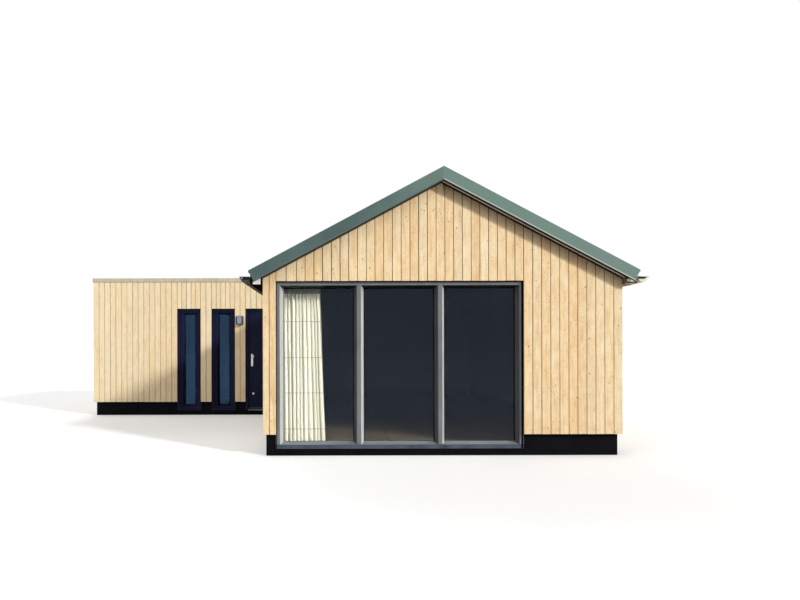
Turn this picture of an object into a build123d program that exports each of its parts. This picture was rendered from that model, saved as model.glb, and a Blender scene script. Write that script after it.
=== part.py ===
from build123d import *
import math
import os

# Small timber bungalow: a gabled main volume whose front is one wide glazed screen,
# and a lower flat-roofed annex set back on its left with two tall windows and the entrance.
# Millimetres, +Z up. The origin is on the ground under the middle of the main volume.
# X runs to the right of the front, Y from the front to the back.

# Main volume
MAIN_WIDTH = 4920.0            # 41 boards over the cladding
MAIN_DEPTH = 9120.0
HEAD_HEIGHT = 2400.0           # top of every door and window frame
ROOF_PITCH = 28.0              # degrees
EAVES_RISE = 207.0             # frame heads to the top of the roof sheet over the cladding face
EAVES_OVERHANG = 130.0         # cladding face to the plumb end of the roof panel
VERGE_OVERHANG = 150.0         # cladding face to the outer face of the verge trim

# Annex
ANNEX_WIDTH = 4515.0
ANNEX_SETBACK = 5280.0         # main front to the annex front
ANNEX_LINTEL = 390.0           # frame heads to the ceiling
ANNEX_ROOF = 240.0
ANNEX_UPSTAND = 45.0           # top of the edge trim over the roof
ANNEX_TRIM_FACE = 85.0
ANNEX_TRIM_PROUD = 12.0
ANNEX_TRIM_WIDTH = 60.0
CHEEK_GAP = 15.0               # annex cladding and trim to the sloping sheet below them

# Walls, base and floor
WALL = 200.0                   # timber frame with its linings
CLADDING = 45.0                # boards and the battens behind them
SLAB_TOP = 100.0
FLOOR_FINISH = 20.0
CLADDING_BOTTOM = 300.0
PLINTH_TOP = 340.0
PLINTH_RECESS = 90.0           # cladding face to plinth face, front and back
JOINT = 0.3                    # seating clearance between fitted pieces
CLADDING_LAP = 10.0            # cladding over the edge of a frame
FRAME_RECESS = 50.0            # cladding face to frame face

# Roof build-up, measured square to the slope
SHEET = 12.0
PANEL = 138.0
SEAM_HEIGHT = 25.0
SEAM_WIDTH = 14.0
SEAM_BAYS = 18
TRIM_PLATE = 12.0
TRIM_CAP = 8.0                 # thickness of the flange on top of the sheet
TRIM_FLANGE = 90.0
TRIM_DROP = 153.0              # below the top of the sheet
TRIM_HEM = 15.0                # folded hem along the lower edge of the face
TRIM_HEM_PROUD = 4.0
TRIM_SHADOW_GAP = 45.0         # trim plate to the end of the roof panel
RIDGE_CAP_WING = 150.0

# Eaves and rainwater
SOFFIT_DROP = 55.0             # underside of the eaves box below the frame heads
FASCIA = 22.0
FASCIA_GAP = 12.0              # top of the fascia to the roof sheet
SHEET_DRIP = 21.0              # sheet beyond the face of the fascia
GUTTER_DROP = 80.0             # gutter top below the top of the fascia
GUTTER_RADIUS = 62.0
GUTTER_WALL = 3.0
GUTTER_BEAD = 8.0
GUTTER_END_GAP = 12.0          # back of the verge trim to the stop end
GUTTER_WALL_GAP = 5.0          # annex cladding to the stop end
GUTTER_FLANGE_LAP = 1.0        # back flange into the trough
PIPE_RADIUS = 38.0
PIPE_STANDOFF = 12.0           # wall cladding to the pipe
PIPE_FROM_END = 120.0          # pipe axis to the end of its wall
PIPE_BOTTOM = 60.0
PIPE_NECK_DROP = 110.0
PIPE_NECK_RUN = 170.0
PIPE_BEND = 70.0
PIPE_CLIPS_DOWN = (720.0, 1720.0)  # clips below the frame heads
PIPE_CLIP = 30.0
PIPE_CLIP_THICKNESS = 3.0

# Glazed screen
SCREEN_FROM_CORNER = 174.0     # cladding corner to the frame
SCREEN_LIGHTS = 3
LIGHT_WIDTH = 1060.0
SCREEN_MEMBER = 56.0
SCREEN_DEPTH = 150.0
SPLAY_SIDE = 40.0
SPLAY_HEAD = 25.0
SPLAY_DEPTH = 95.0
PANE = 28.0
PANE_REBATE = 12.0

# Annex windows
WINDOW_WIDTH = 541.0
PIER_AT_DOOR = 219.0           # second window to the door frame
PIER_BETWEEN = 230.0           # between the two windows
WINDOW_MEMBER = 60.0
WINDOW_DEPTH = 150.0
SASH_STILE = 50.0
SASH_RAIL = 40.0
SASH_DEPTH = 105.0
SASH_SETBACK = 40.0
SASH_SPLAY_DEPTH = 60.0

# Entrance door
DOOR_FROM_MAIN = 114.0         # cladding of the main volume to the door frame
DOOR_WIDTH = 1000.0
DOOR_MEMBER = 60.0
DOOR_REBATE = 15.0
DOOR_STOP = 30.0
LEAF = 56.0
LEAF_GAP = 5.0
LEAF_OVER_FLOOR = 8.0
THRESHOLD_NOSE = 20.0
HANDLE_FROM_EDGE = 96.0
PLATE_OVER_FLOOR = 973.0
PLATE_HEIGHT = 280.0
PLATE_WIDTH = 44.0
PLATE = 8.0
KNOB_RADIUS = 27.0
KNOB_OFFSET = 34.0
KNOB_PROJECTION = 62.0
KNOB_FROM_TOP = 62.0
KNOB_FLATNESS = 0.7            # depth of the knob over its width
LEVER_RADIUS = 9.0
LEVER_LENGTH = 125.0
LOCK_OVER_FLOOR = 360.0
LOCK_RADIUS = 22.0
HINGE_FROM_BOTTOM = 202.0      # leaf edge to the middle of the outer hinges
HINGE_FROM_TOP = 220.0
HINGE_RADIUS = 8.0
HINGE_OFFSET = 10.0            # leaf face to the hinge axis
HINGE_KNUCKLE = 42.0
PIN_RADIUS = 4.0
PIN_CLEARANCE = 0.3
HINGE_FLAG = 34.0
HINGE_PLATE = 3.0

# Inner doorway between the two volumes
DOORWAY_FROM_FRONT = 335.0     # inner face of the annex front to the doorway
DOORWAY_WIDTH = 900.0
DOORWAY_DROP = 150.0           # its head below the frame heads

# Curtain and its rail, inside the left light
CURTAIN_FROM_SIDE = 8.0
CURTAIN_TOP_WIDTH = 530.0
CURTAIN_BOTTOM_WIDTH = 600.0
CURTAIN_DEPTH = 84.0
CURTAIN_FROM_WALL = 22.0
CURTAIN_FLOOR_GAP = 38.0
RAIL_OVER_HEAD = 12.0
RAIL_HEIGHT = 22.0
RAIL_WIDTH = 26.0
RAIL_LENGTH = 640.0
RAIL_BRACKET = 30.0

# Wall lamp, between the second window and the door
LAMP_UNDER_HEAD = 183.0        # top of the bracket below the frame heads
LAMP_WIDTH = 150.0
LAMP_HEIGHT = 182.0
LAMP_BRACKET = 14.0
LAMP_DEPTH = 120.0
LAMP_SHADE_INSET = 12.0

# Values that follow: main volume
SLOPE = math.radians(ROOF_PITCH)
RISE = math.tan(SLOPE)
HALF = MAIN_WIDTH / 2
FRONT = -MAIN_DEPTH / 2
BACK = MAIN_DEPTH / 2
FRAME_X = HALF - CLADDING              # outer face of the timber frame
INNER_X = FRAME_X - WALL
FRAME_FRONT = FRONT + CLADDING
INNER_FRONT = FRAME_FRONT + WALL
FRAME_BACK = BACK - CLADDING
INNER_BACK = FRAME_BACK - WALL
RIDGE_HEIGHT = HEAD_HEIGHT + EAVES_RISE + HALF * RISE
CEILING_DROP = SHEET + PANEL
EAVES_REACH = HALF + EAVES_OVERHANG    # ridge line to the plumb end of the roof panel
SHEET_REACH = EAVES_REACH + FASCIA + SHEET_DRIP
VERGE = FRONT - VERGE_OVERHANG         # outer face of the front verge trim
FLOOR_TOP = SLAB_TOP + FLOOR_FINISH

# Values that follow: annex
ANNEX_LEFT = -HALF - ANNEX_WIDTH
ANNEX_FRONT = FRONT + ANNEX_SETBACK
ANNEX_FRAME_LEFT = ANNEX_LEFT + CLADDING
ANNEX_INNER_LEFT = ANNEX_FRAME_LEFT + WALL
ANNEX_FRAME_FRONT = ANNEX_FRONT + CLADDING
ANNEX_INNER_FRONT = ANNEX_FRAME_FRONT + WALL
ANNEX_CEILING = HEAD_HEIGHT + ANNEX_LINTEL
ANNEX_ROOF_TOP = ANNEX_CEILING + ANNEX_ROOF
ANNEX_TRIM_TOP = ANNEX_ROOF_TOP + ANNEX_UPSTAND

# Values that follow: openings
SCREEN_LEFT = -HALF + SCREEN_FROM_CORNER
SCREEN_RIGHT = SCREEN_LEFT + SCREEN_LIGHTS * LIGHT_WIDTH + (SCREEN_LIGHTS + 1) * SCREEN_MEMBER
DOOR_RIGHT = -HALF - DOOR_FROM_MAIN
DOOR_LEFT = DOOR_RIGHT - DOOR_WIDTH
SECOND_WINDOW_LEFT = DOOR_LEFT - PIER_AT_DOOR - WINDOW_WIDTH
FIRST_WINDOW_LEFT = SECOND_WINDOW_LEFT - PIER_BETWEEN - WINDOW_WIDTH
WINDOW_LEFTS = (FIRST_WINDOW_LEFT, SECOND_WINDOW_LEFT)
DOORWAY_FRONT = ANNEX_INNER_FRONT + DOORWAY_FROM_FRONT
DOORWAY_BACK = DOORWAY_FRONT + DOORWAY_WIDTH
DOORWAY_HEAD = HEAD_HEIGHT - DOORWAY_DROP


def block(x0, x1, y0, y1, z0, z1):
    """A box from its lowest to its highest corner."""
    return Pos(x0, y0, z0) * Box(x1 - x0, y1 - y0, z1 - z0, align=(Align.MIN, Align.MIN, Align.MIN))


def prism(points, y0, y1):
    """An outline in X and Z, drawn along Y."""
    outline = Polyline(*[(x, y0, z) for x, z in points], close=True)
    return extrude(make_face(outline), amount=y1 - y0, dir=(0, 1, 0))


def slope_z(x, depth):
    """Height over x of the plane that lies depth below the top of the roof sheet."""
    return RIDGE_HEIGHT - depth / math.cos(SLOPE) - abs(x) * RISE


def slope_point(side, run, depth):
    """A point run down the slope from the ridge line and depth square into the roof."""
    x = run * math.cos(SLOPE) - depth * math.sin(SLOPE)
    return side * x, RIDGE_HEIGHT - run * math.sin(SLOPE) - depth * math.cos(SLOPE)


def slope_band(side, top, bottom, reach):
    """Outline of a layer of the roof, from the ridge to a plumb end."""
    return [
        (0, slope_z(0, top)),
        (side * reach, slope_z(reach, top)),
        (side * reach, slope_z(reach, bottom)),
        (0, slope_z(0, bottom)),
    ]


def square_band(side, top, bottom, run):
    """Outline of a layer of the roof, from the ridge to an end cut square to the slope."""
    return [
        (0, slope_z(0, top)),
        slope_point(side, run, top),
        slope_point(side, run, bottom),
        (0, slope_z(0, bottom)),
    ]


def under_roof(x0, x1, z0):
    """Outline from z0 up to the underside of the roof panels."""
    top = [(x1, slope_z(x1, CEILING_DROP + JOINT)), (x0, slope_z(x0, CEILING_DROP + JOINT))]
    if x0 < 0 < x1:
        top.insert(1, (0, slope_z(0, CEILING_DROP + JOINT)))
    return [(x0, z0), (x1, z0)] + top


def save(name, *solids):
    """Write one node."""
    shape = solids[0] if len(solids) == 1 else Compound(children=list(solids))
    export_step(shape, os.path.join("parts", name + ".step"))


def annex_openings():
    """Left and right edge of each frame in the annex front, from left to right."""
    spans = [(left, left + WINDOW_WIDTH) for left in WINDOW_LEFTS]
    spans.append((DOOR_LEFT, DOOR_LEFT + DOOR_WIDTH))
    return spans


def between_openings(start, end, spans):
    """What is left of start to end between the given spans, with the seating clearance."""
    edges = [start]
    for left, right in spans:
        edges += [left - JOINT, right + JOINT]
    edges.append(end)
    return [(edges[i], edges[i + 1]) for i in range(0, len(edges), 2)]


MAIN_FRONT_BAYS = between_openings(-FRAME_X, FRAME_X, [(SCREEN_LEFT, SCREEN_RIGHT)])
ANNEX_FRONT_BAYS = between_openings(ANNEX_FRAME_LEFT, -FRAME_X, annex_openings())


# Base: slabs, plinth walls and floors
def base():
    front = FRONT + PLINTH_RECESS
    back = BACK - PLINTH_RECESS
    annex_front = ANNEX_FRONT + PLINTH_RECESS
    save("main_slab", block(-FRAME_X, FRAME_X, front, back, 0, SLAB_TOP))
    save("annex_slab", block(ANNEX_FRAME_LEFT, -FRAME_X, annex_front, back, 0, SLAB_TOP))
    strips = [block(x0, x1, front, INNER_FRONT, SLAB_TOP, PLINTH_TOP) for x0, x1 in MAIN_FRONT_BAYS]
    strips.append(block(-FRAME_X, FRAME_X, INNER_BACK, back, SLAB_TOP, PLINTH_TOP))
    save("main_end_plinths", *strips)
    save(
        "main_side_plinths",
        block(INNER_X, FRAME_X, INNER_FRONT, INNER_BACK, SLAB_TOP, PLINTH_TOP),
        block(-FRAME_X, -INNER_X, INNER_FRONT, DOORWAY_FRONT, SLAB_TOP, PLINTH_TOP),
        block(-FRAME_X, -INNER_X, DOORWAY_BACK, INNER_BACK, SLAB_TOP, PLINTH_TOP),
    )
    strips = [
        block(x0, x1, annex_front, ANNEX_INNER_FRONT, SLAB_TOP, PLINTH_TOP)
        for x0, x1 in ANNEX_FRONT_BAYS
    ]
    strips.append(block(ANNEX_FRAME_LEFT, -FRAME_X, INNER_BACK, back, SLAB_TOP, PLINTH_TOP))
    save("annex_end_plinths", *strips)
    save(
        "annex_left_plinth",
        block(ANNEX_FRAME_LEFT, ANNEX_INNER_LEFT, ANNEX_INNER_FRONT, INNER_BACK, SLAB_TOP, PLINTH_TOP),
    )
    room = block(-INNER_X, INNER_X, INNER_FRONT, INNER_BACK, SLAB_TOP, FLOOR_TOP)
    doorway = block(-FRAME_X, -INNER_X, DOORWAY_FRONT, DOORWAY_BACK, SLAB_TOP, FLOOR_TOP)
    save("main_floor", room + doorway)
    save(
        "annex_floor",
        block(ANNEX_INNER_LEFT, -FRAME_X, ANNEX_INNER_FRONT, INNER_BACK, SLAB_TOP, FLOOR_TOP),
    )


# Timber frame walls, split beside and over the openings
def main_walls():
    save(
        "main_front_piers",
        *[block(x0, x1, FRAME_FRONT, INNER_FRONT, PLINTH_TOP, HEAD_HEIGHT) for x0, x1 in MAIN_FRONT_BAYS],
    )
    gable = under_roof(-FRAME_X, FRAME_X, HEAD_HEIGHT + JOINT)
    save("main_front_gable", prism(gable, FRAME_FRONT, INNER_FRONT))
    save("main_back_wall", prism(under_roof(-FRAME_X, FRAME_X, PLINTH_TOP), INNER_BACK, FRAME_BACK))
    save("main_right_wall", prism(under_roof(INNER_X, FRAME_X, PLINTH_TOP), INNER_FRONT, INNER_BACK))
    left = under_roof(-FRAME_X, -INNER_X, PLINTH_TOP)
    save(
        "main_left_walls",
        prism(left, INNER_FRONT, DOORWAY_FRONT),
        prism(left, DOORWAY_BACK, INNER_BACK),
    )
    head = under_roof(-FRAME_X, -INNER_X, DOORWAY_HEAD)
    save("main_left_lintel", prism(head, DOORWAY_FRONT, DOORWAY_BACK))


def annex_walls():
    save(
        "annex_front_piers",
        *[
            block(x0, x1, ANNEX_FRAME_FRONT, ANNEX_INNER_FRONT, PLINTH_TOP, HEAD_HEIGHT)
            for x0, x1 in ANNEX_FRONT_BAYS
        ],
    )
    cheek = roof_line_x(ANNEX_CEILING)
    lintel = [
        (ANNEX_FRAME_LEFT, HEAD_HEIGHT + JOINT),
        (-FRAME_X, HEAD_HEIGHT + JOINT),
        (-FRAME_X, slope_z(FRAME_X, -JOINT)),
        (cheek, ANNEX_CEILING),
        (ANNEX_FRAME_LEFT, ANNEX_CEILING),
    ]
    save("annex_front_lintel", prism(lintel, ANNEX_FRAME_FRONT, ANNEX_INNER_FRONT))
    save(
        "annex_left_wall",
        block(
            ANNEX_FRAME_LEFT, ANNEX_INNER_LEFT, ANNEX_INNER_FRONT, INNER_BACK, PLINTH_TOP, ANNEX_CEILING
        ),
    )
    back = [
        (ANNEX_FRAME_LEFT, PLINTH_TOP),
        (-FRAME_X, PLINTH_TOP),
        (-FRAME_X, slope_z(FRAME_X, -JOINT)),
        (cheek, ANNEX_CEILING),
        (ANNEX_FRAME_LEFT, ANNEX_CEILING),
    ]
    save("annex_back_wall", prism(back, INNER_BACK, FRAME_BACK))


def roof_line_x(z):
    """Where a level z meets the top of the left roof sheet, with the seating clearance."""
    return -(slope_z(0, -JOINT) - z) / RISE


# Cladding skins
def claddings():
    front = prism(under_roof(-HALF, HALF, CLADDING_BOTTOM), FRONT, FRAME_FRONT)
    opening = block(
        SCREEN_LEFT + CLADDING_LAP,
        SCREEN_RIGHT - CLADDING_LAP,
        FRONT,
        FRAME_FRONT,
        CLADDING_BOTTOM,
        HEAD_HEIGHT - CLADDING_LAP,
    )
    save("main_front_cladding", front - opening)
    save("main_back_cladding", prism(under_roof(-HALF, HALF, CLADDING_BOTTOM), FRAME_BACK, BACK))
    right = prism(under_roof(FRAME_X, HALF, CLADDING_BOTTOM), FRAME_FRONT, FRAME_BACK)
    left = prism(under_roof(-HALF, -FRAME_X, CLADDING_BOTTOM), FRAME_FRONT, ANNEX_FRAME_FRONT)
    save("main_side_claddings", left, right)

    top = ANNEX_TRIM_TOP - ANNEX_TRIM_FACE
    outline = [
        (ANNEX_LEFT, CLADDING_BOTTOM),
        (-HALF - JOINT, CLADDING_BOTTOM),
        (-HALF - JOINT, slope_z(HALF + JOINT, -CHEEK_GAP)),
        (-(slope_z(0, -CHEEK_GAP) - top) / RISE, top),
        (ANNEX_LEFT, top),
    ]
    annex_front = prism(outline, ANNEX_FRONT, ANNEX_FRAME_FRONT)
    for x0, x1 in annex_openings():
        annex_front -= block(
            x0 + CLADDING_LAP,
            x1 - CLADDING_LAP,
            ANNEX_FRONT,
            ANNEX_FRAME_FRONT,
            CLADDING_BOTTOM,
            HEAD_HEIGHT - CLADDING_LAP,
        )
    save("annex_front_cladding", annex_front)
    save("annex_back_cladding", prism(outline, FRAME_BACK, BACK))
    save(
        "annex_left_cladding",
        block(ANNEX_LEFT, ANNEX_FRAME_LEFT, ANNEX_FRAME_FRONT, FRAME_BACK, CLADDING_BOTTOM, top),
    )


# Main roof
def roof_panels():
    """Insulated panels; the left one ends on the main wall where the annex adjoins."""
    start = VERGE + TRIM_PLATE + TRIM_SHADOW_GAP
    end = -start
    save("main_roof_right", prism(slope_band(1, SHEET, CEILING_DROP, EAVES_REACH), start, end))
    full = prism(slope_band(-1, SHEET, CEILING_DROP, EAVES_REACH), start, ANNEX_FRONT - JOINT)
    beside_annex = prism(slope_band(-1, SHEET, CEILING_DROP, FRAME_X), ANNEX_FRONT - JOINT, end)
    back_verge = prism(slope_band(-1, SHEET, CEILING_DROP, EAVES_REACH), BACK + JOINT, end)
    save("main_roof_left", full + beside_annex + back_verge)


def roof_sheets():
    """Standing seam sheets; the left one stops at the main wall where the annex adjoins."""
    start = VERGE + TRIM_PLATE
    end = -start
    bay = (end - start) / SEAM_BAYS
    annex_reach = -roof_line_x(ANNEX_ROOF_TOP) - CHEEK_GAP
    right = prism(slope_band(1, 0, SHEET, SHEET_REACH), start, end)
    left = prism(slope_band(-1, 0, SHEET, SHEET_REACH), start, ANNEX_FRONT - JOINT)
    left += prism(slope_band(-1, 0, SHEET, FRAME_X), ANNEX_FRONT - JOINT, end)
    left += prism(slope_band(-1, 0, SHEET, SHEET_REACH), BACK + JOINT, end)
    for i in range(1, SEAM_BAYS):
        y0 = start + i * bay - SEAM_WIDTH / 2
        right += seam(1, SHEET_REACH, y0)
        clear_front = y0 + SEAM_WIDTH < ANNEX_FRONT
        left += seam(-1, SHEET_REACH if clear_front else annex_reach, y0)
    save("roof_sheet_right", right)
    save("roof_sheet_left", left)


def seam(side, reach, y0):
    """One standing seam, from the ridge cap down to its reach."""
    top = RIDGE_CAP_WING * math.cos(SLOPE) + JOINT
    outline = [
        (side * top, slope_z(top, 0)),
        (side * reach, slope_z(reach, 0)),
        (side * reach, slope_z(reach, -SEAM_HEIGHT)),
        (side * top, slope_z(top, -SEAM_HEIGHT)),
    ]
    return prism(outline, y0, y0 + SEAM_WIDTH)


def ridge_cap():
    reach = RIDGE_CAP_WING * math.cos(SLOPE)
    start = VERGE + TRIM_FLANGE + JOINT
    right = prism(slope_band(1, -TRIM_CAP, -JOINT, reach), start, -start)
    left = prism(slope_band(-1, -TRIM_CAP, -JOINT, reach), start, -start)
    save("ridge_cap", right + left)


def verge_trims():
    """Folded trims: a face plate square-cut at the eaves, its hem, and a flange on the sheet."""
    run = (SHEET_REACH - TRIM_CAP * math.sin(SLOPE)) / math.cos(SLOPE)
    face = VERGE + TRIM_HEM_PROUD
    inner = VERGE + TRIM_PLATE - JOINT
    for side, name in ((-1, "verge_trims_left"), (1, "verge_trims_right")):
        plate = square_band(side, -TRIM_CAP, TRIM_DROP, run)
        hem = square_band(side, TRIM_DROP - TRIM_HEM, TRIM_DROP, run)
        flange = square_band(side, -TRIM_CAP, -JOINT, run)
        front = prism(plate, face, inner) + prism(hem, VERGE, inner)
        front += prism(flange, face, VERGE + TRIM_FLANGE)
        back = prism(plate, -inner, -face) + prism(hem, -inner, -VERGE)
        back += prism(flange, -VERGE - TRIM_FLANGE, -face)
        save(name, front, back)


def fascia_top():
    """Top of the fascia, under the drip edge of the sheet."""
    return slope_z(EAVES_REACH + FASCIA, SHEET) - FASCIA_GAP


def gutter_top():
    """Rim of the gutters."""
    return fascia_top() - GUTTER_DROP


def eaves_boxes():
    """Boxed eaves: a level soffit, a closing wedge and the fascia as one run a side."""
    outer = EAVES_REACH + FASCIA
    bottom = HEAD_HEIGHT - SOFFIT_DROP
    start = VERGE + TRIM_PLATE + TRIM_SHADOW_GAP
    boxes = []
    for side, end in ((-1, ANNEX_FRONT - JOINT), (1, -start)):
        outline = [
            (side * (HALF + JOINT), bottom),
            (side * outer, bottom),
            (side * outer, fascia_top()),
            (side * (EAVES_REACH + JOINT), fascia_top()),
            (side * (EAVES_REACH + JOINT), slope_z(EAVES_REACH, CEILING_DROP + JOINT)),
            (side * (HALF + JOINT), slope_z(HALF, CEILING_DROP + JOINT)),
        ]
        boxes.append(prism(outline, start, end))
    save("eaves_boxes", *boxes)


# Rainwater
def gutter(side, start, end):
    """A half-round gutter with a rolled front bead, a back flange and stop ends."""
    rim = gutter_top()
    back = EAVES_REACH + FASCIA + JOINT
    centre = back + GUTTER_RADIUS
    above = block(centre - GUTTER_RADIUS, centre + GUTTER_RADIUS, start, end, rim, rim + GUTTER_RADIUS)
    inner_radius = GUTTER_RADIUS - GUTTER_WALL
    inner = along_y(centre, rim, inner_radius, start + GUTTER_WALL, end - GUTTER_WALL)
    trough = along_y(centre, rim, GUTTER_RADIUS, start, end) - above - inner
    bead_x = centre + GUTTER_RADIUS + GUTTER_BEAD - GUTTER_WALL
    trough += along_y(bead_x, rim, GUTTER_BEAD, start, end)
    trough += block(back, back + GUTTER_WALL, start, end, rim - GUTTER_FLANGE_LAP, rim + GUTTER_BEAD)
    return trough if side > 0 else mirror(trough, about=Plane.YZ)


def along_y(x, z, radius, y0, y1):
    """A cylinder along Y."""
    circle = Plane(origin=(x, y0, z), x_dir=(1, 0, 0), z_dir=(0, 1, 0)) * Circle(radius)
    return extrude(circle, amount=y1 - y0)


def downpipe(side, y):
    """A round pipe from under the gutter back to the wall and down, with its clips."""
    top_x = EAVES_REACH + FASCIA + JOINT + GUTTER_RADIUS
    wall_x = HALF + PIPE_STANDOFF + PIPE_RADIUS
    top = gutter_top() - GUTTER_RADIUS - JOINT
    knee = top - PIPE_NECK_DROP
    path = FilletPolyline(
        (top_x, y, top),
        (top_x, y, knee),
        (wall_x, y, knee - PIPE_NECK_RUN),
        (wall_x, y, PIPE_BOTTOM),
        radius=PIPE_BEND,
    )
    section = Plane(origin=(top_x, y, top), z_dir=(0, 0, -1)) * Circle(PIPE_RADIUS)
    pipe = sweep(section, path=path)
    for z in [HEAD_HEIGHT - drop for drop in PIPE_CLIPS_DOWN]:
        ring = Pos(wall_x, y, z) * Cylinder(PIPE_RADIUS + PIPE_CLIP_THICKNESS, PIPE_CLIP)
        half = PIPE_CLIP / 2
        pipe += ring + block(HALF + JOINT, wall_x, y - half, y + half, z - half, z + half)
    return pipe if side > 0 else mirror(pipe, about=Plane.YZ)


def rainwater():
    start = VERGE + TRIM_PLATE + GUTTER_END_GAP
    left_end = ANNEX_FRONT - GUTTER_WALL_GAP
    save("gutters", gutter(-1, start, left_end), gutter(1, start, -start))
    save("downpipes", downpipe(-1, left_end - PIPE_FROM_END), downpipe(1, FRAME_BACK - PIPE_FROM_END))


# Annex roof
def annex_roof():
    outline = [
        (ANNEX_FRAME_LEFT, ANNEX_CEILING + JOINT),
        (roof_line_x(ANNEX_CEILING), ANNEX_CEILING + JOINT),
        (roof_line_x(ANNEX_ROOF_TOP), ANNEX_ROOF_TOP),
        (ANNEX_FRAME_LEFT, ANNEX_ROOF_TOP),
    ]
    save("annex_roof", prism(outline, ANNEX_FRAME_FRONT + JOINT, FRAME_BACK - JOINT))
    bottom = ANNEX_TRIM_TOP - ANNEX_TRIM_FACE + JOINT
    left = ANNEX_LEFT - ANNEX_TRIM_PROUD
    front = ANNEX_FRONT - ANNEX_TRIM_PROUD
    back = BACK + ANNEX_TRIM_PROUD
    outline = [
        (left, bottom),
        (-(slope_z(0, -CHEEK_GAP) - bottom) / RISE, bottom),
        (-(slope_z(0, -CHEEK_GAP) - ANNEX_TRIM_TOP) / RISE, ANNEX_TRIM_TOP),
        (left, ANNEX_TRIM_TOP),
    ]
    roof_edge = ANNEX_ROOF_TOP - bottom + JOINT
    front_trim = prism(outline, front, front + ANNEX_TRIM_WIDTH)
    front_trim -= block(left, 0, ANNEX_FRAME_FRONT, front + ANNEX_TRIM_WIDTH, bottom, bottom + roof_edge)
    back_trim = prism(outline, back - ANNEX_TRIM_WIDTH, back)
    back_trim -= block(left, 0, back - ANNEX_TRIM_WIDTH, FRAME_BACK, bottom, bottom + roof_edge)
    save("annex_trim_ends", front_trim, back_trim)
    side = block(left, left + ANNEX_TRIM_WIDTH, front + ANNEX_TRIM_WIDTH, back - ANNEX_TRIM_WIDTH,
                 bottom, ANNEX_TRIM_TOP)
    side -= block(ANNEX_FRAME_LEFT, left + ANNEX_TRIM_WIDTH, front, back, bottom, bottom + roof_edge)
    save("annex_trim_left", side)


# Frames with splayed beads round each pane
def splayed_cut(x0, x1, z0, z1, face, splay_x, splay_z, depth):
    """A pocket that narrows from the frame face to the pane."""
    outer = Plane(origin=((x0 + x1) / 2, face, (z0 + z1) / 2), x_dir=(1, 0, 0), z_dir=(0, 1, 0))
    inner = outer.offset(depth)
    mouth = outer * Rectangle(x1 - x0, z1 - z0)
    throat = inner * Rectangle(x1 - x0 - 2 * splay_x, z1 - z0 - 2 * splay_z)
    return loft([mouth, throat])


def glaze(frame, x0, x1, z0, z1, face, back, splay_x, splay_z, depth):
    """Cut one light through a frame and return the frame and its pane."""
    gx0, gx1 = x0 + splay_x, x1 - splay_x
    gz0, gz1 = z0 + splay_z, z1 - splay_z
    frame -= splayed_cut(x0, x1, z0, z1, face, splay_x, splay_z, depth)
    frame -= block(gx0, gx1, face + depth, back, gz0, gz1)
    frame -= block(gx0 - PANE_REBATE, gx1 + PANE_REBATE, face + depth, face + depth + PANE,
                   gz0 - PANE_REBATE, gz1 + PANE_REBATE)
    seat = PANE_REBATE - JOINT
    pane = block(gx0 - seat, gx1 + seat, face + depth + JOINT, face + depth + PANE - JOINT,
                 gz0 - seat, gz1 + seat)
    return frame, pane


def screen():
    face = FRONT + FRAME_RECESS
    back = face + SCREEN_DEPTH
    frame = block(SCREEN_LEFT, SCREEN_RIGHT, face, back, SLAB_TOP, HEAD_HEIGHT)
    panes = []
    for i in range(SCREEN_LIGHTS):
        x0 = SCREEN_LEFT + SCREEN_MEMBER + i * (LIGHT_WIDTH + SCREEN_MEMBER)
        frame, pane = glaze(
            frame, x0, x0 + LIGHT_WIDTH, SLAB_TOP + SCREEN_MEMBER, HEAD_HEIGHT - SCREEN_MEMBER,
            face, back, SPLAY_SIDE, SPLAY_HEAD, SPLAY_DEPTH,
        )
        panes.append(pane)
    save("screen_frame", frame)
    save("screen_glass", *panes)


def annex_windows():
    face = ANNEX_FRONT + FRAME_RECESS
    back = face + WINDOW_DEPTH
    sash_face = face + SASH_SETBACK
    frames, sashes, panes = [], [], []
    for left in WINDOW_LEFTS:
        right = left + WINDOW_WIDTH
        x0, x1 = left + WINDOW_MEMBER, right - WINDOW_MEMBER
        z0, z1 = SLAB_TOP + WINDOW_MEMBER, HEAD_HEIGHT - WINDOW_MEMBER
        frame = block(left, right, face, back, SLAB_TOP, HEAD_HEIGHT)
        frames.append(frame - block(x0, x1, face, back, z0, z1))
        sash = block(x0 + JOINT, x1 - JOINT, sash_face, sash_face + SASH_DEPTH, z0 + JOINT, z1 - JOINT)
        sash, pane = glaze(
            sash, x0 + SASH_STILE, x1 - SASH_STILE, z0 + SASH_RAIL, z1 - SASH_RAIL,
            sash_face, sash_face + SASH_DEPTH, SPLAY_SIDE, SPLAY_HEAD, SASH_SPLAY_DEPTH,
        )
        sashes.append(sash)
        panes.append(pane)
    save("annex_window_frames", *frames)
    save("annex_window_sashes", *sashes)
    save("annex_window_glass", *panes)


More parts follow.
